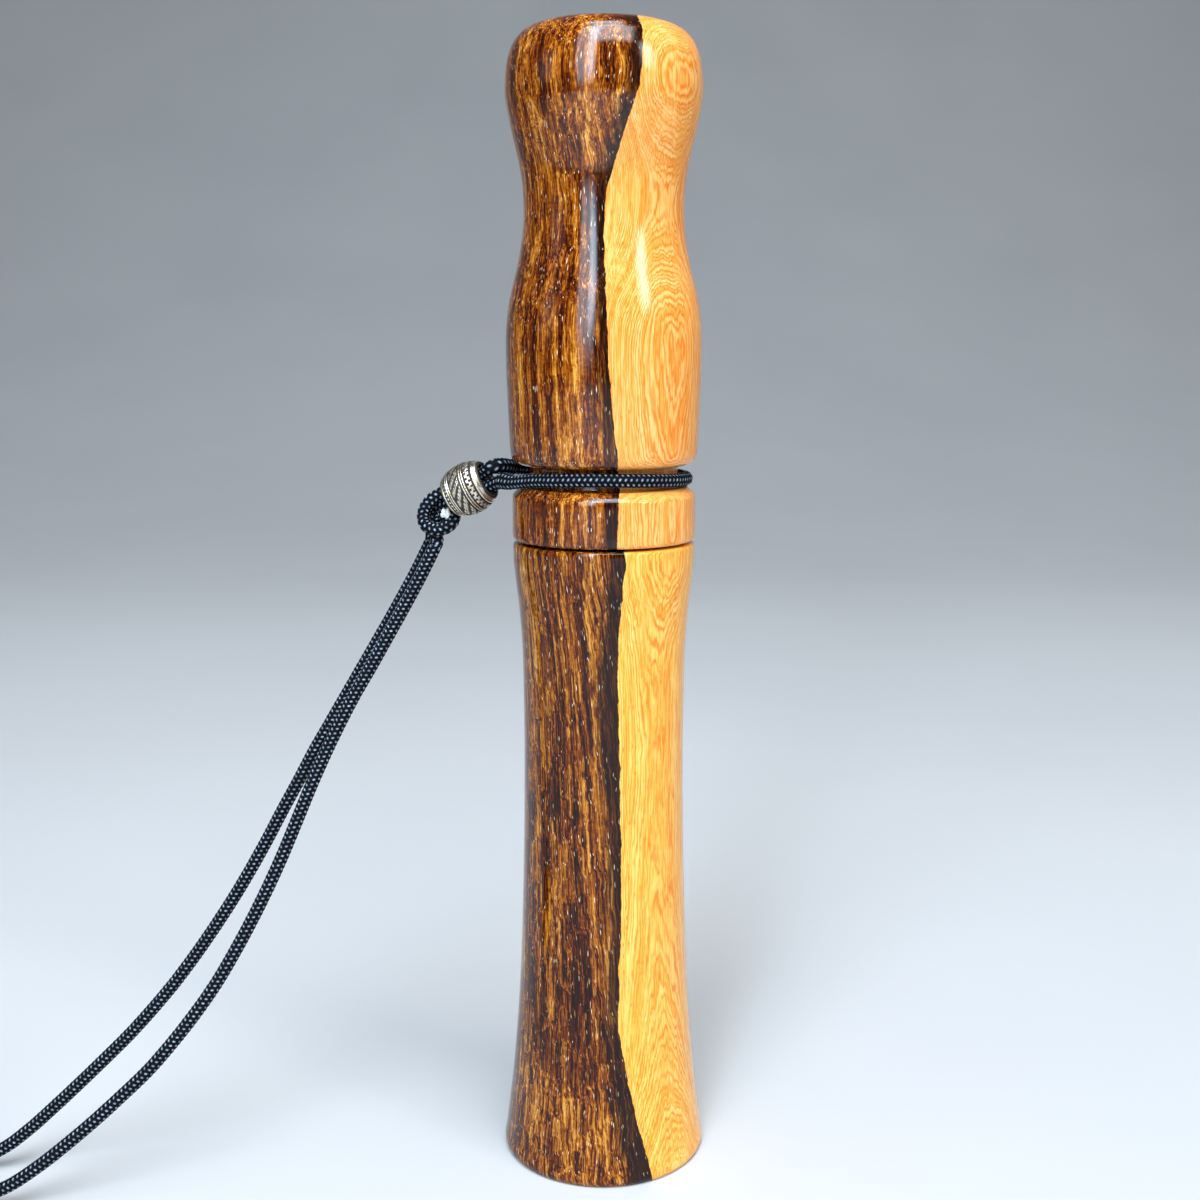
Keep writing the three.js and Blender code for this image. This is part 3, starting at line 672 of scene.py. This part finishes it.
S_SHOW = 152.0      # past this the cord is out of the camera's view
steps = []
at = 0.0
while at < ROUTE_S[-1]:
    steps.append(at)
    near_end = at < S_SHOW or at > ROUTE_S[-1] - S_SHOW
    at += BRAID_PITCH / 4 if near_end else BRAID_PITCH / 2
steps.append(ROUTE_S[-1])
steps = np.array(steps)
LINE = np.stack([np.interp(steps, ROUTE_S, ROUTE[:, k]) for k in range(3)], -1)
neck_cord = braid_tube("lanyard_neck_loop", LINE, CORD, radius=1.0, sides=24)
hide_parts("lanyard_strand_a", "lanyard_strand_b", "lanyard_coil")
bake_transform(neck_cord)

# ---------------------------------------------------------------- the turn in the groove, through the bead and into the knot
BEAD_AT = np.array([-20.46, 0.5, 105.8])
BEAD_AXIS = np.array([0.86, -0.25, 0.445]) / np.linalg.norm([0.86, -0.25, 0.445])
BEAD_SIDE = np.array([-0.4274, 0.1242, 0.8956]) / np.linalg.norm([-0.4274, 0.1242, 0.8956])
KNOT_AT = np.array([-25.35, 1.75, 101.1])
TILT = math.radians(9.65)
KNOT_UP = np.array([0.0, math.sin(TILT), math.cos(TILT)])
KNOT_OUT = np.array([0.0, -math.cos(TILT), math.sin(TILT)])


def in_bead(t, side, out=0.0):
    return tuple(BEAD_AT + BEAD_AXIS * t + BEAD_SIDE * side * 1.12 + np.cross(BEAD_SIDE, BEAD_AXIS) * -out)


def on_collar(deg, z, r=12.45):
    a = math.radians(deg)
    return (r * math.cos(a), r * math.sin(a), z)


def by_knot(right, up, out):
    return tuple(KNOT_AT + np.array([right, 0.0, 0.0]) + KNOT_UP * up + KNOT_OUT * out)


TURN = [
    in_bead(-2.2, -1), in_bead(0, -1), in_bead(3.2, -1), in_bead(5.4, -1.15, 0.40), (-13.6, -3.6, 107.1),
    on_collar(220, 107.75), on_collar(238, 107.95), on_collar(254, 108.1), on_collar(270, 108.14), on_collar(288, 108.05), on_collar(306, 107.9),
    on_collar(324, 107.7), on_collar(342, 107.55), on_collar(0, 107.47), on_collar(18, 107.45), on_collar(36, 107.45), on_collar(54, 107.45),
    on_collar(72, 107.5), on_collar(90, 107.6), on_collar(106, 107.75), on_collar(122, 107.95), on_collar(138, 108.25),
    (-13.1, 4.2, 108.6), in_bead(5.2, 1.12, 0.2), in_bead(3.2, 1), in_bead(0, 1), in_bead(-2.2, 1),
]
LOOP = [
    (1.52, 4.13, 0.98), (0.35, 3.60, 1.25), (-0.95, 2.70, 1.35), (-1.90, 1.40, 1.20), (-2.15, 0.0, 1.10), (-1.70, -1.15, 1.25), (-0.50, -1.75, 1.40),
    (0.90, -1.65, 1.45), (2.00, -0.95, 1.20), (2.50, 0.15, 0.45), (2.30, 1.00, -0.65), (1.25, 1.10, -1.55), (-0.10, 0.40, -1.95), (-1.00, -0.90, -1.80),
    (-1.20, -2.20, -1.65),
]
INNER = [(2.30, 2.20, 0.60), (1.20, 2.15, 0.0), (0.10, 1.55, -0.45), (-0.45, 0.35, -0.65), (-0.40, -1.20, -0.45), (-0.25, -2.65, 0.0)]
back_to_a = [(-26.6, 2.9, 97.6), (-27.4, 2.85, 96.1)]
back_to_b = [(-25.55, 0.7, 97.4), (-26.3, 0.58, 95.9)]
turn_line = back_to_b[::-1] + [by_knot(*p) for p in INNER[::-1]] + TURN + [by_knot(*p) for p in LOOP] + back_to_a
turn_line, _ = resample(catmull(turn_line, 40), step=BRAID_PITCH / 5)


def bunched(P):
    """Both strands are squeezed in the bead and spread where they come out of it towards the barrel."""
    t = (P - BEAD_AT) @ BEAD_AXIS
    off = np.linalg.norm((P - BEAD_AT) - t[:, None] * BEAD_AXIS, axis=1)
    return 1.0 + 0.24 * np.exp(-((t - 6.0) / 1.3) ** 2) * (off < 4.0)


turn_cord = braid_tube("lanyard_groove_turn", turn_line, CORD, radius=1.0, sides=32, taper=(12, 12), swell=bunched)
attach(turn_cord, "lanyard")
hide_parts("lanyard_collar", "lanyard_knot")


def melted_material():
    """The sealed end of a nylon cord: fused, glassy and greyish white where the flame drew it."""
    m = Mat("cord_melted_end")
    P = m.vmul(m.coords("Object"), (1000, 1000, 1000))
    n = m.noise(P, 1.9, 4.0, 0.6)
    f = m.noise(P, 7.0, 2.0, 0.5)
    colour = m.ramp(m.add(m.mul(n, 0.7), m.mul(f, 0.3)), [(0.36, (0.05, 0.055, 0.065)), (0.44, (0.62, 0.63, 0.62)), (0.60, (0.92, 0.91, 0.86))])
    m.set(Base_Color=colour, Roughness=m.span(n, 0.3, 0.7, 0.22, 0.5), IOR=1.5, Normal=m.bump(m.add(n, m.mul(f, 0.3)), 0.00015, 0.7))
    return m.mat


MELTED = melted_material()


def sealed_end(name, inside, tip, seed, blob=0.74):
    """A short cut end of the cord standing out of the knot, with its fused tip as a piece of its own."""
    a, b = np.array(by_knot(*inside)), np.array(by_knot(*tip))
    d = (b - a) / np.linalg.norm(b - a)
    line, _ = resample([tuple(a), tuple((a + b) / 2 + 0.12 * np.cross(d, [0.3, 0.5, 0.8])), tuple(b)], step=BRAID_PITCH / 5)
    stub = braid_tube(name, line, CORD, radius=0.84, sides=32, taper=(2, 5), phase=0.31 * seed)
    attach(stub, "lanyard")
    rng = np.random.default_rng(seed)
    bm = bmesh.new()
    bmesh.ops.create_icosphere(bm, subdivisions=4, radius=1.0)
    waves = [(rng.normal(size=3) * w, rng.uniform(0, TAU), s_) for w, s_ in ((2.0, 0.16), (3.4, 0.11), (5.5, 0.07), (8.0, 0.03))]
    X = Vector(d).orthogonal().normalized()
    Y = Vector(d).cross(X)
    for vert in bm.verts:
        c = np.array(vert.co)
        k = 1.0 + sum(s_ * math.sin(float(w @ c) + ph) for w, ph, s_ in waves)
        c = c * k
        flat = 0.34 if c[2] > 0 else 0.55
        vert.co = Vector((b + d * 0.15) * 1.0) + X * float(c[0] * blob) + Y * float(c[1] * blob) + Vector(d) * float(c[2] * flat)
        vert.co *= MM
    me_ = bpy.data.meshes.new(name + "_tip")
    bm.to_mesh(me_)
    bm.free()
    me_.polygons.foreach_set("use_smooth", [True] * len(me_.polygons))
    me_.materials.append(MELTED)
    tip_ob = link(bpy.data.objects.new(name + "_tip", me_))
    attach(tip_ob, "lanyard")
    return stub, tip_ob


end_front = sealed_end("lanyard_end_front", (0.55, 0.35, -0.3), (1.30, 0.62, 1.75), 3)
end_back = sealed_end("lanyard_end_back", (0.4, 0.1, -0.6), (1.9, -0.75, -2.05), 5)

# ---------------------------------------------------------------- the cast bead
def bead_relief(phi, t):
    """The bead's own raised pattern, generic: rows of dots, plain ridges and a band of slanting leaves. phi round, t along in mm; 0 to 1."""
    h = np.full(phi.shape, 0.75)

    def ridge(at, wide, up=1.0):
        return up * np.exp(-((t - at) / wide) ** 2)

    for at_, wide in ((2.55, 0.14), (1.02, 0.13), (0.66, 0.12), (-1.72, 0.13), (-2.08, 0.12), (-2.95, 0.14)):
        h += 0.35 * ridge(at_, wide)
    for at_, wide in ((2.30, 0.11), (1.24, 0.10), (0.84, 0.08), (0.42, 0.12), (-1.50, 0.11), (-1.90, 0.08), (-2.28, 0.10), (-2.78, 0.10)):
        h -= 0.75 * ridge(at_, wide)
    # dots pressed into the upper band, two rows set off from each other
    for row, at_ in enumerate((1.99, 1.55)):
        n = 26
        q = (phi / TAU * n + 0.5 * row) % 1.0 - 0.5
        d = np.hypot(q * TAU * 3.85 / n, t - at_)
        h -= 0.95 * np.exp(-(d / 0.155) ** 4)
    # leaves: slanting blades with a rib, in the wide band
    inside = 1 / (1 + np.exp(-(t + 1.36) / 0.05)) * 1 / (1 + np.exp(-(0.26 - t) / 0.05))
    n = 14
    lean = phi / TAU * n + 0.85 * (t + 0.55) + 0.18 * np.sin(3 * phi)
    q = lean % 1.0 - 0.5
    blade = np.cos(math.pi * q) ** 0.6
    rib = np.exp(-(q / 0.055) ** 2)
    veins = 0.5 + 0.5 * np.cos(TAU * (t / 0.34 + 1.7 * np.abs(q)))
    leaf = 0.10 + 0.80 * blade * (0.72 + 0.28 * veins) - 0.55 * rib * (0.6 + 0.4 * np.cos(phi * 2))
    h = h * (1 - inside) + leaf * inside
    # a lower row of small pearls
    n = 34
    q = (phi / TAU * n) % 1.0 - 0.5
    d = np.hypot(q * TAU * 3.5 / n, t + 2.52)
    low = np.exp(-((t + 2.52) / 0.22) ** 4)
    h = h * (1 - low) + low * (0.1 + 0.95 * np.sqrt(np.clip(1 - (d / 0.30) ** 2, 0, 1)))
    # casting unevenness
    h += 0.05 * np.sin(5 * phi + 3.0 * t) * np.sin(2.3 * t + 1.0) + 0.03 * np.sin(11 * phi - 4 * t)
    return np.clip(h, 0, 1.15)


def bead_material():
    m = Mat("bead_pewter")
    P = m.vmul(m.coords("Object"), (1000, 1000, 1000))
    deep = m.attribute("deep")
    mottled = m.noise(P, 1.3, 4.0, 0.6)
    fine = m.noise(P, 9.0, 3.0, 0.6)
    worn = m.smooth(m.add(deep, m.mul(m.sub(mottled, 0.5), 0.45)), 0.50, 0.86)
    bright = m.mix(m.span(fine, 0.3, 0.7), (0.78, 0.72, 0.62), (0.90, 0.87, 0.80))
    warm = m.mix(m.span(mottled, 0.42, 0.62), bright, (0.70, 0.56, 0.38))
    colour = m.mix(worn, (0.050, 0.038, 0.028), warm)
    m.set(Base_Color=colour, Metallic=m.span(worn, 0.0, 1.0, 0.55, 1.0), Roughness=m.add(m.span(worn, 0.0, 1.0, 0.55, 0.24), m.mul(m.sub(fine, 0.5), 0.12)),
          Normal=m.bump(m.add(m.mul(fine, 0.6), mottled), 0.00005, 0.6))
    return m.mat


def make_bead():
    outer = catmull([(r, t, 0) for r, t in [(2.60, 3.35), (2.86, 3.38), (3.12, 3.14), (3.42, 2.62), (3.72, 1.98), (3.95, 1.02), (4.06, 0.0), (3.95, -1.02), (3.72, -1.98), (3.42, -2.62), (3.12, -3.14), (2.86, -3.38), (2.60, -3.35)]], 10)[:, :2]
    outer, _ = resample(np.c_[outer, np.zeros(len(outer))], count=150)
    outer = outer[:, :2]
    bore = np.array([(2.47, -3.22), (2.45, -2.9), (2.45, -1.5), (2.45, 0.0), (2.45, 1.5), (2.45, 2.9), (2.47, 3.22)])
    sides = 300
    phi = TAU * np.arange(sides) / sides
    tang = np.gradient(outer, axis=0)
    nor = np.stack([-tang[:, 1], tang[:, 0]], -1)
    nor /= np.linalg.norm(nor, axis=1)[:, None]
    nor *= np.sign(nor[:, 0] + 1e-9)[:, None]
    PH, TT = np.meshgrid(phi, outer[:, 1], indexing="ij")
    hgt = bead_relief(PH, TT)
    fade = np.clip((3.30 - np.abs(TT)) / 0.25, 0, 1)
    depth = (hgt - 1.0) * 0.17 * fade
    rad = outer[None, :, 0] + nor[None, :, 0] * depth
    axi = outer[None, :, 1] + nor[None, :, 1] * depth
    rad = np.concatenate([rad, np.tile(bore[:, 0], (sides, 1))], 1)
    axi = np.concatenate([axi, np.tile(bore[:, 1], (sides, 1))], 1)
    deep = np.concatenate([hgt * fade + (1 - fade) * 0.35, np.zeros((sides, len(bore)))], 1)
    q = Vector((0, 0, 1)).rotation_difference(Vector(BEAD_AXIS)).to_matrix()
    q = np.array(q)
    loc = np.stack([rad * np.cos(phi)[:, None], rad * np.sin(phi)[:, None], axi], -1).reshape(-1, 3)
    V = loc @ q.T + BEAD_AT
    n = rad.shape[1]
    i = np.arange(sides)[:, None]
    j = (i + 1) % sides
    k = np.arange(n)[None, :]
    k2 = (k + 1) % n
    F = np.stack([i * n + k, i * n + k2, j * n + k2, j * n + k], -1).reshape(-1, 4)
    A, B, C, D = (loc[F[:, c]] for c in range(4))
    vol = (np.einsum("ij,ij->i", A, np.cross(B, C)) + np.einsum("ij,ij->i", A, np.cross(C, D))).sum()
    if vol < 0:
        F = F[:, ::-1]
    ob = mesh_object("lanyard_cast_bead", V * MM, F.tolist(), bead_material())
    float_attribute(ob, "deep", deep.reshape(-1))
    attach(ob, "lanyard_bead")
    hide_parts("lanyard_bead")
    return ob


bead = make_bead()

# ---------------------------------------------------------------- the pieces inside
def rubber_material(name, base, rough):
    m = Mat(name)
    P = m.vmul(m.coords("Object"), (1000, 1000, 1000))
    a_ = m.noise(P, 1.1, 3.0, 0.55)
    b_ = m.noise(P, 11.0, 3.0, 0.6)
    dusty = m.smooth(a_, 0.48, 0.70)
    colour = m.mix(dusty, base, tuple(c * 2.1 + 0.012 for c in base))
    m.set(Base_Color=colour, Roughness=m.add(m.span(a_, 0.3, 0.7, rough - 0.08, rough + 0.10), m.mul(m.sub(b_, 0.5), 0.10)), IOR=1.52, Specular_IOR_Level=0.45,
          Normal=m.bump(m.add(a_, m.mul(b_, 0.5)), 0.00003, 0.6))
    return m.mat


def acetal_material():
    m = Mat("toneboard_acetal")
    P = m.vmul(m.coords("Object"), (1000, 1000, 1000))
    cloud = m.noise(P, 0.16, 3.0, 0.5)
    fine = m.noise(P, 7.0, 4.0, 0.6)
    scratch = m.noise(m.vmul(P, (6.0, 6.0, 0.35)), 1.0, 3.0, 0.6)
    colour = m.mix(m.span(cloud, 0.35, 0.65), (0.56, 0.52, 0.43), (0.66, 0.63, 0.55))
    colour = m.mix(m.mul(m.smooth(scratch, 0.60, 0.72), 0.20), colour, (0.42, 0.37, 0.29))
    m.set(Base_Color=colour, Roughness=m.span(m.add(m.mul(fine, 0.5), m.mul(scratch, 0.5)), 0.35, 0.65, 0.30, 0.50), IOR=1.48,
          Subsurface_Weight=0.12, Subsurface_Scale=0.0012, Normal=m.bump(m.add(m.mul(scratch, 0.7), fine), 0.00002, 0.5))
    return m.mat


def film_material():
    m = Mat("reed_film")
    P = m.vmul(m.coords("Object"), (1000, 1000, 1000))
    haze = m.noise(P, 0.30, 3.0, 0.5)
    rub = m.noise(m.vmul(P, (8.0, 8.0, 0.5)), 1.0, 3.0, 0.65)
    colour = m.mix(m.span(haze, 0.35, 0.65), (0.46, 0.50, 0.49), (0.58, 0.61, 0.60))
    colour = m.mix(m.mul(m.smooth(rub, 0.58, 0.72), 0.30), colour, (0.74, 0.76, 0.75))
    m.set(Base_Color=colour, Roughness=m.span(rub, 0.35, 0.70, 0.20, 0.44), IOR=1.57, Transmission_Weight=0.35, Normal=m.bump(rub, 0.00001, 0.5))
    return m.mat


def cork_material():
    m = Mat("wedge_cork")
    P = m.vmul(m.coords("Object"), (1000, 1000, 1000))
    v = m.voronoi(P, 1.5)
    edge = m.voronoi(P, 1.5, "DISTANCE_TO_EDGE")
    c1, c2, c3 = m.split(v.outputs["Color"])
    n = m.noise(P, 5.0, 4.0, 0.65)
    grains = m.ramp(m.add(m.mul(c1, 0.6), m.mul(n, 0.4)), [(0.15, (0.27, 0.135, 0.055)), (0.45, (0.45, 0.265, 0.125)), (0.8, (0.62, 0.42, 0.23))])
    seam = m.smooth(edge.outputs["Distance"], 0.07, 0.0)
    pit = m.mul(m.smooth(n, 0.62, 0.70), m.smooth(c2, 0.5, 0.8))
    colour = m.mix(m.math("MAXIMUM", m.mul(seam, 0.75), m.mul(pit, 0.8)), grains, (0.085, 0.040, 0.018))
    m.set(Base_Color=colour, Roughness=0.85, Specular_IOR_Level=0.25,
          Normal=m.bump(m.sub(m.mul(n, 0.4), m.add(seam, pit)), 0.00010, 0.8))
    return m.mat


def torus_ring(name, radius, minor, z, node, body, squeeze=1.0):
    """An O-ring with the faint moulding flash line that such rings have on their inside and outside."""
    sec = []
    for i in range(28):
        t = TAU * i / 28
        r = minor * (1.0 + 0.028 * math.exp(-((math.sin(t)) / 0.10) ** 2))
        sec.append((radius + r * math.cos(t), z + r * math.sin(t) * squeeze))
    V, F = revolve(sec, 144)
    ob = mesh_object(name, V * MM, F, RUBBER)
    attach(ob, body)
    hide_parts(node)
    return ob


RUBBER = rubber_material("o_ring_rubber", (0.010, 0.010, 0.011), 0.42)
torus_ring("tenon_ring_low", 8.5, 0.62, 102.2, "tenon_o_ring_lower", "exhaust_bell")
torus_ring("tenon_ring_high", 8.5, 0.62, 111.2, "tenon_o_ring_upper", "exhaust_bell")
torus_ring("board_ring_low", 5.75, 0.56, 97.6, "toneboard_o_ring_lower", "toneboard")
torus_ring("board_ring_high", 5.75, 0.56, 106.6, "toneboard_o_ring_upper", "toneboard")


def prism(name, outline, lo, hi, plane, hole=None, bevel=0.06, material=None):
    """A bevelled plate from an outline in mm: plane "xz" runs along Y, "xy" runs along Z and "yz" runs along X, from lo to hi."""
    put = {"xz": lambda a, b, c: (a, c, b), "xy": lambda a, b, c: (a, b, c), "yz": lambda a, b, c: (c, a, b)}[plane]
    bm = bmesh.new()
    rings = []
    for loop in [outline] + ([hole] if hole else []):
        rings.append(([bm.verts.new(put(a, b, lo)) for a, b in loop], [bm.verts.new(put(a, b, hi)) for a, b in loop]))
    for low, high in rings:
        n = len(low)
        for i in range(n):
            bm.faces.new((low[i], low[(i + 1) % n], high[(i + 1) % n], high[i]))
    if hole:
        (ol, oh), (il, ih) = rings
        n = len(ol)
        for i in range(n if len(il) == n else 0):
            j = (i + 1) % n
            bm.faces.new((ol[i], il[i], il[j], ol[j]))
            bm.faces.new((oh[i], oh[j], ih[j], ih[i]))
    else:
        low, high = rings[0]
        bm.faces.new(low[::-1])
        bm.faces.new(high)
    bmesh.ops.recalc_face_normals(bm, faces=bm.faces[:])
    if bevel:
        sharp = [e for e in bm.edges if len(e.link_faces) == 2 and e.calc_face_angle(0.0) > math.radians(35)]
        bmesh.ops.bevel(bm, geom=sharp, offset=bevel, segments=3, affect="EDGES", profile=0.5, clamp_overlap=True)
    bmesh.ops.scale(bm, vec=(MM, MM, MM), verts=bm.verts[:])
    bmesh.ops.triangulate(bm, faces=[f for f in bm.faces if len(f.verts) > 4])
    me_ = bpy.data.meshes.new(name)
    bm.to_mesh(me_)
    bm.free()
    me_.polygons.foreach_set("use_smooth", [True] * len(me_.polygons))
    ob = link(bpy.data.objects.new(name, me_))
    if material is not None:
        me_.materials.append(material)
    sharpen(ob, 30)
    return ob


# the reed: a strip of film with a rounded tip
half = 3.8
reed_line = [(-half + 0.4, 113.1), (half - 0.4, 113.1), (half, 113.5)]
reed_line += [(half * math.cos(math.pi * i / 40), 149.4 - 1.9 + 1.9 * math.sin(math.pi * i / 40)) for i in range(41)] + [(-half, 113.5)]
reed = prism("reed_strip", reed_line, -1.5, -1.15, "xz", bevel=0.05, material=film_material())
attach(reed, "reed")
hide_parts("reed")

wedge = prism("reed_cork", [(-1.85, 113.0), (-1.85, 118.5), (-2.1, 118.9), (-3.35, 118.9), (-3.6, 118.5), (-3.45, 113.0)], -3.7, 3.7, "yz", bevel=0.12, material=cork_material())
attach(wedge, "toneboard")
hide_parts("reed_wedge")


def band_outline(r, y, steps=72):
    a0 = math.asin(y / r)
    return [(r * math.cos(a0 + (math.pi - 2 * a0) * i / steps), r * math.sin(a0 + (math.pi - 2 * a0) * i / steps)) for i in range(steps + 1)]


tuner = prism("reed_tuning_band", band_outline(7.25, -3.05), 119.1, 121.3, "xy", hole=band_outline(6.05, -1.85), bevel=0.22, material=rubber_material("band_rubber", (0.016, 0.016, 0.018), 0.58))
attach(tuner, "tuning_band")
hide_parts("tuning_band")


def boolean(base, other, op):
    mod = base.modifiers.new("cut", "BOOLEAN")
    mod.operation = op
    mod.solver = "EXACT"
    mod.object = other
    deps = bpy.context.evaluated_depsgraph_get()
    me_ = bpy.data.meshes.new_from_object(base.evaluated_get(deps))
    base.modifiers.clear()
    base.data = me_
    bpy.data.objects.remove(other)
    return base


def turned_solid(name, rows, segments=96):
    """A closed solid of revolution whose first and last rows lie on the axis."""
    bm = bmesh.new()
    a_ = [TAU * i / segments for i in range(segments)]
    loops = [[bm.verts.new((r * math.cos(t) * MM, r * math.sin(t) * MM, z * MM)) for t in a_] for r, z in rows if r > 1e-6]
    top = bm.verts.new((0, 0, rows[0][1] * MM))
    low = bm.verts.new((0, 0, rows[-1][1] * MM))
    for A_, B_ in zip(loops[:-1], loops[1:]):
        for i in range(segments):
            j = (i + 1) % segments
            bm.faces.new((A_[i], A_[j], B_[j], B_[i]))
    for i in range(segments):
        j = (i + 1) % segments
        bm.faces.new((top, loops[0][j], loops[0][i]))
        bm.faces.new((low, loops[-1][i], loops[-1][j]))
    bmesh.ops.recalc_face_normals(bm, faces=bm.faces[:])
    me_ = bpy.data.meshes.new(name)
    bm.to_mesh(me_)
    bm.free()
    return link(bpy.data.objects.new(name, me_))


board_groove = lambda z: [(6.2, z + 0.95), (5.05, z + 0.95), (5.05, z - 0.95), (6.2, z - 0.95)]
board = turned_solid("toneboard_moulding", [(0, 118.2), (6.8, 118.2), (7.02, 118.12), (7.1, 117.9), (7.1, 116.95), (7.02, 116.75), (6.85, 116.7), (6.2, 116.7)]
                     + board_groove(106.6) + board_groove(97.6) + [(6.2, 93.9), (6.05, 93.55), (5.7, 93.4), (0, 93.4)])
tongue = turned_solid("tongue_round", [(0, 151.0), (5.2, 151.0), (5.55, 150.88), (5.74, 150.66), (5.8, 150.4), (5.8, 116.2), (0, 116.2)])
face = [(-1.0, 115.2)] + [(-1.0 + 1.6 * (i / 40) ** 2, 119.0 + 32.0 * i / 40) for i in range(41)] + [(0.6, 152.0), (3.0, 152.0), (9.0, 139.0), (9.0, 115.2)]
tongue = boolean(tongue, prism("face_cut", face, -8, 8, "yz", bevel=0), "INTERSECT")
board = boolean(board, tongue, "UNION")
bore = turned_solid("tone_channel", [(0, 146.8), (1.0, 146.65), (1.6, 146.2), (2.2, 145.5), (2.5, 144.6), (2.5, 91.4), (0, 91.4)])
bore.data.transform(Matrix.Translation((0, 0.4 * MM, 0)))
board = boolean(board, bore, "DIFFERENCE")
board = boolean(board, prism("reed_pocket", [(-4.05, -3.95), (4.05, -3.95), (4.05, -0.8), (-4.05, -0.8)], 112.8, 121.2, "xy", bevel=0), "DIFFERENCE")
board.data.materials.clear()
board.data.materials.append(acetal_material())
board.data.polygons.foreach_set("use_smooth", [True] * len(board.data.polygons))
sharpen(board, 30)
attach(board, "toneboard")
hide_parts("toneboard")

# ---------------------------------------------------------------- floor and light
def floor_material():
    m = Mat("floor_pale")
    P = m.coords("Object")
    n = m.noise(P, 6.0, 3.0, 0.5)
    m.set(Base_Color=m.mix(m.span(n, 0.3, 0.7), (0.55, 0.55, 0.55), (0.58, 0.58, 0.577)), Roughness=0.8, Specular_IOR_Level=0.2)
    return m.mat


def sweep():
    """A pale sheet: flat under the call and curved up far behind it, so that no edge shows."""
    rows = [(-3.0, 0.0), (-1.2, 0.0), (0.0, 0.0), (0.6, 0.0)]
    for i in range(1, 17):
        a_ = math.pi / 2 * i / 16
        rows.append((0.6 + 1.2 * math.sin(a_), 1.2 * (1 - math.cos(a_))))
    rows += [(1.8, 2.0), (1.8, 3.2)]
    V = [(x, y, z) for y, z in rows for x in (-3.5, -1.5, 0.0, 1.5, 3.5)]
    F = [(i * 5 + j, i * 5 + j + 1, (i + 1) * 5 + j + 1, (i + 1) * 5 + j) for i in range(len(rows) - 1) for j in range(4)]
    return mesh_object("floor", V, F, floor_material())


floor = sweep()

world = bpy.data.worlds.new("world")
world.use_nodes = True
world.node_tree.nodes["Background"].inputs[0].default_value = (0.86, 0.90, 1.0, 1)
world.node_tree.nodes["Background"].inputs[1].default_value = 0.12
scene.world = world
scene.view_settings.view_transform = "Standard"


def area(name, at, look, size, power, colour=(1, 1, 1), soft=0.3):
    """A softbox whose edges fade over the share soft of its width and height."""
    d = bpy.data.lights.new(name, "AREA")
    d.shape = "RECTANGLE"
    d.size, d.size_y = size
    d.energy = power
    d.color = colour
    d.use_nodes = True
    t = d.node_tree
    em = t.nodes["Emission"]
    geo = t.nodes.new("ShaderNodeNewGeometry")
    sep = t.nodes.new("ShaderNodeSeparateXYZ")
    t.links.new(geo.outputs["Parametric"], sep.inputs[0])
    prod = None
    for k in range(2):
        for lo, hi in ((0.0, soft), (1.0, 1.0 - soft)):
            r = t.nodes.new("ShaderNodeMapRange")
            r.interpolation_type = "SMOOTHSTEP"
            t.links.new(sep.outputs[k], r.inputs["Value"])
            r.inputs["From Min"].default_value = lo
            r.inputs["From Max"].default_value = hi
            if prod is None:
                prod = r.outputs[0]
            else:
                mu = t.nodes.new("ShaderNodeMath")
                mu.operation = "MULTIPLY"
                t.links.new(prod, mu.inputs[0])
                t.links.new(r.outputs[0], mu.inputs[1])
                prod = mu.outputs[0]
    t.links.new(prod, em.inputs["Strength"])
    o = link(bpy.data.objects.new(name, d))
    o.location = at
    o.rotation_euler = (Vector(look) - Vector(at)).to_track_quat("-Z", "Y").to_euler()
    return o


area("strip_left", (-0.31, -0.74, 0.72), (0, 0, 0.13), (0.44, 1.90), 15.5, (0.80, 0.90, 1.0), 0.25)
area("strip_core", (-0.205, -0.785, 0.72), (0, 0, 0.13), (0.22, 1.75), 13.0, (0.58, 0.78, 1.0), 0.35)
area("top_front", (0.12, -0.50, 0.98), (0, 0, 0.13), (0.85, 0.80), 17.5, (0.84, 0.92, 1.0), 0.22)
area("top_soft", (0.02, -0.10, 1.02), (0, 0, 0.13), (0.46, 0.46), 5.0, (0.86, 0.93, 1.0), 0.25)
area("window_right", (0.90, -0.70, 0.70), (0, 0, 0.09), (0.50, 0.72), 18.5, (1.0, 0.95, 0.92), 0.5)
area("fill_left", (-1.3, -0.5, 0.5), (0, 0, 0.10), (0.9, 0.9), 6.0, (1.0, 0.98, 0.96), 0.7)

# ---------------------------------------------------------------- done
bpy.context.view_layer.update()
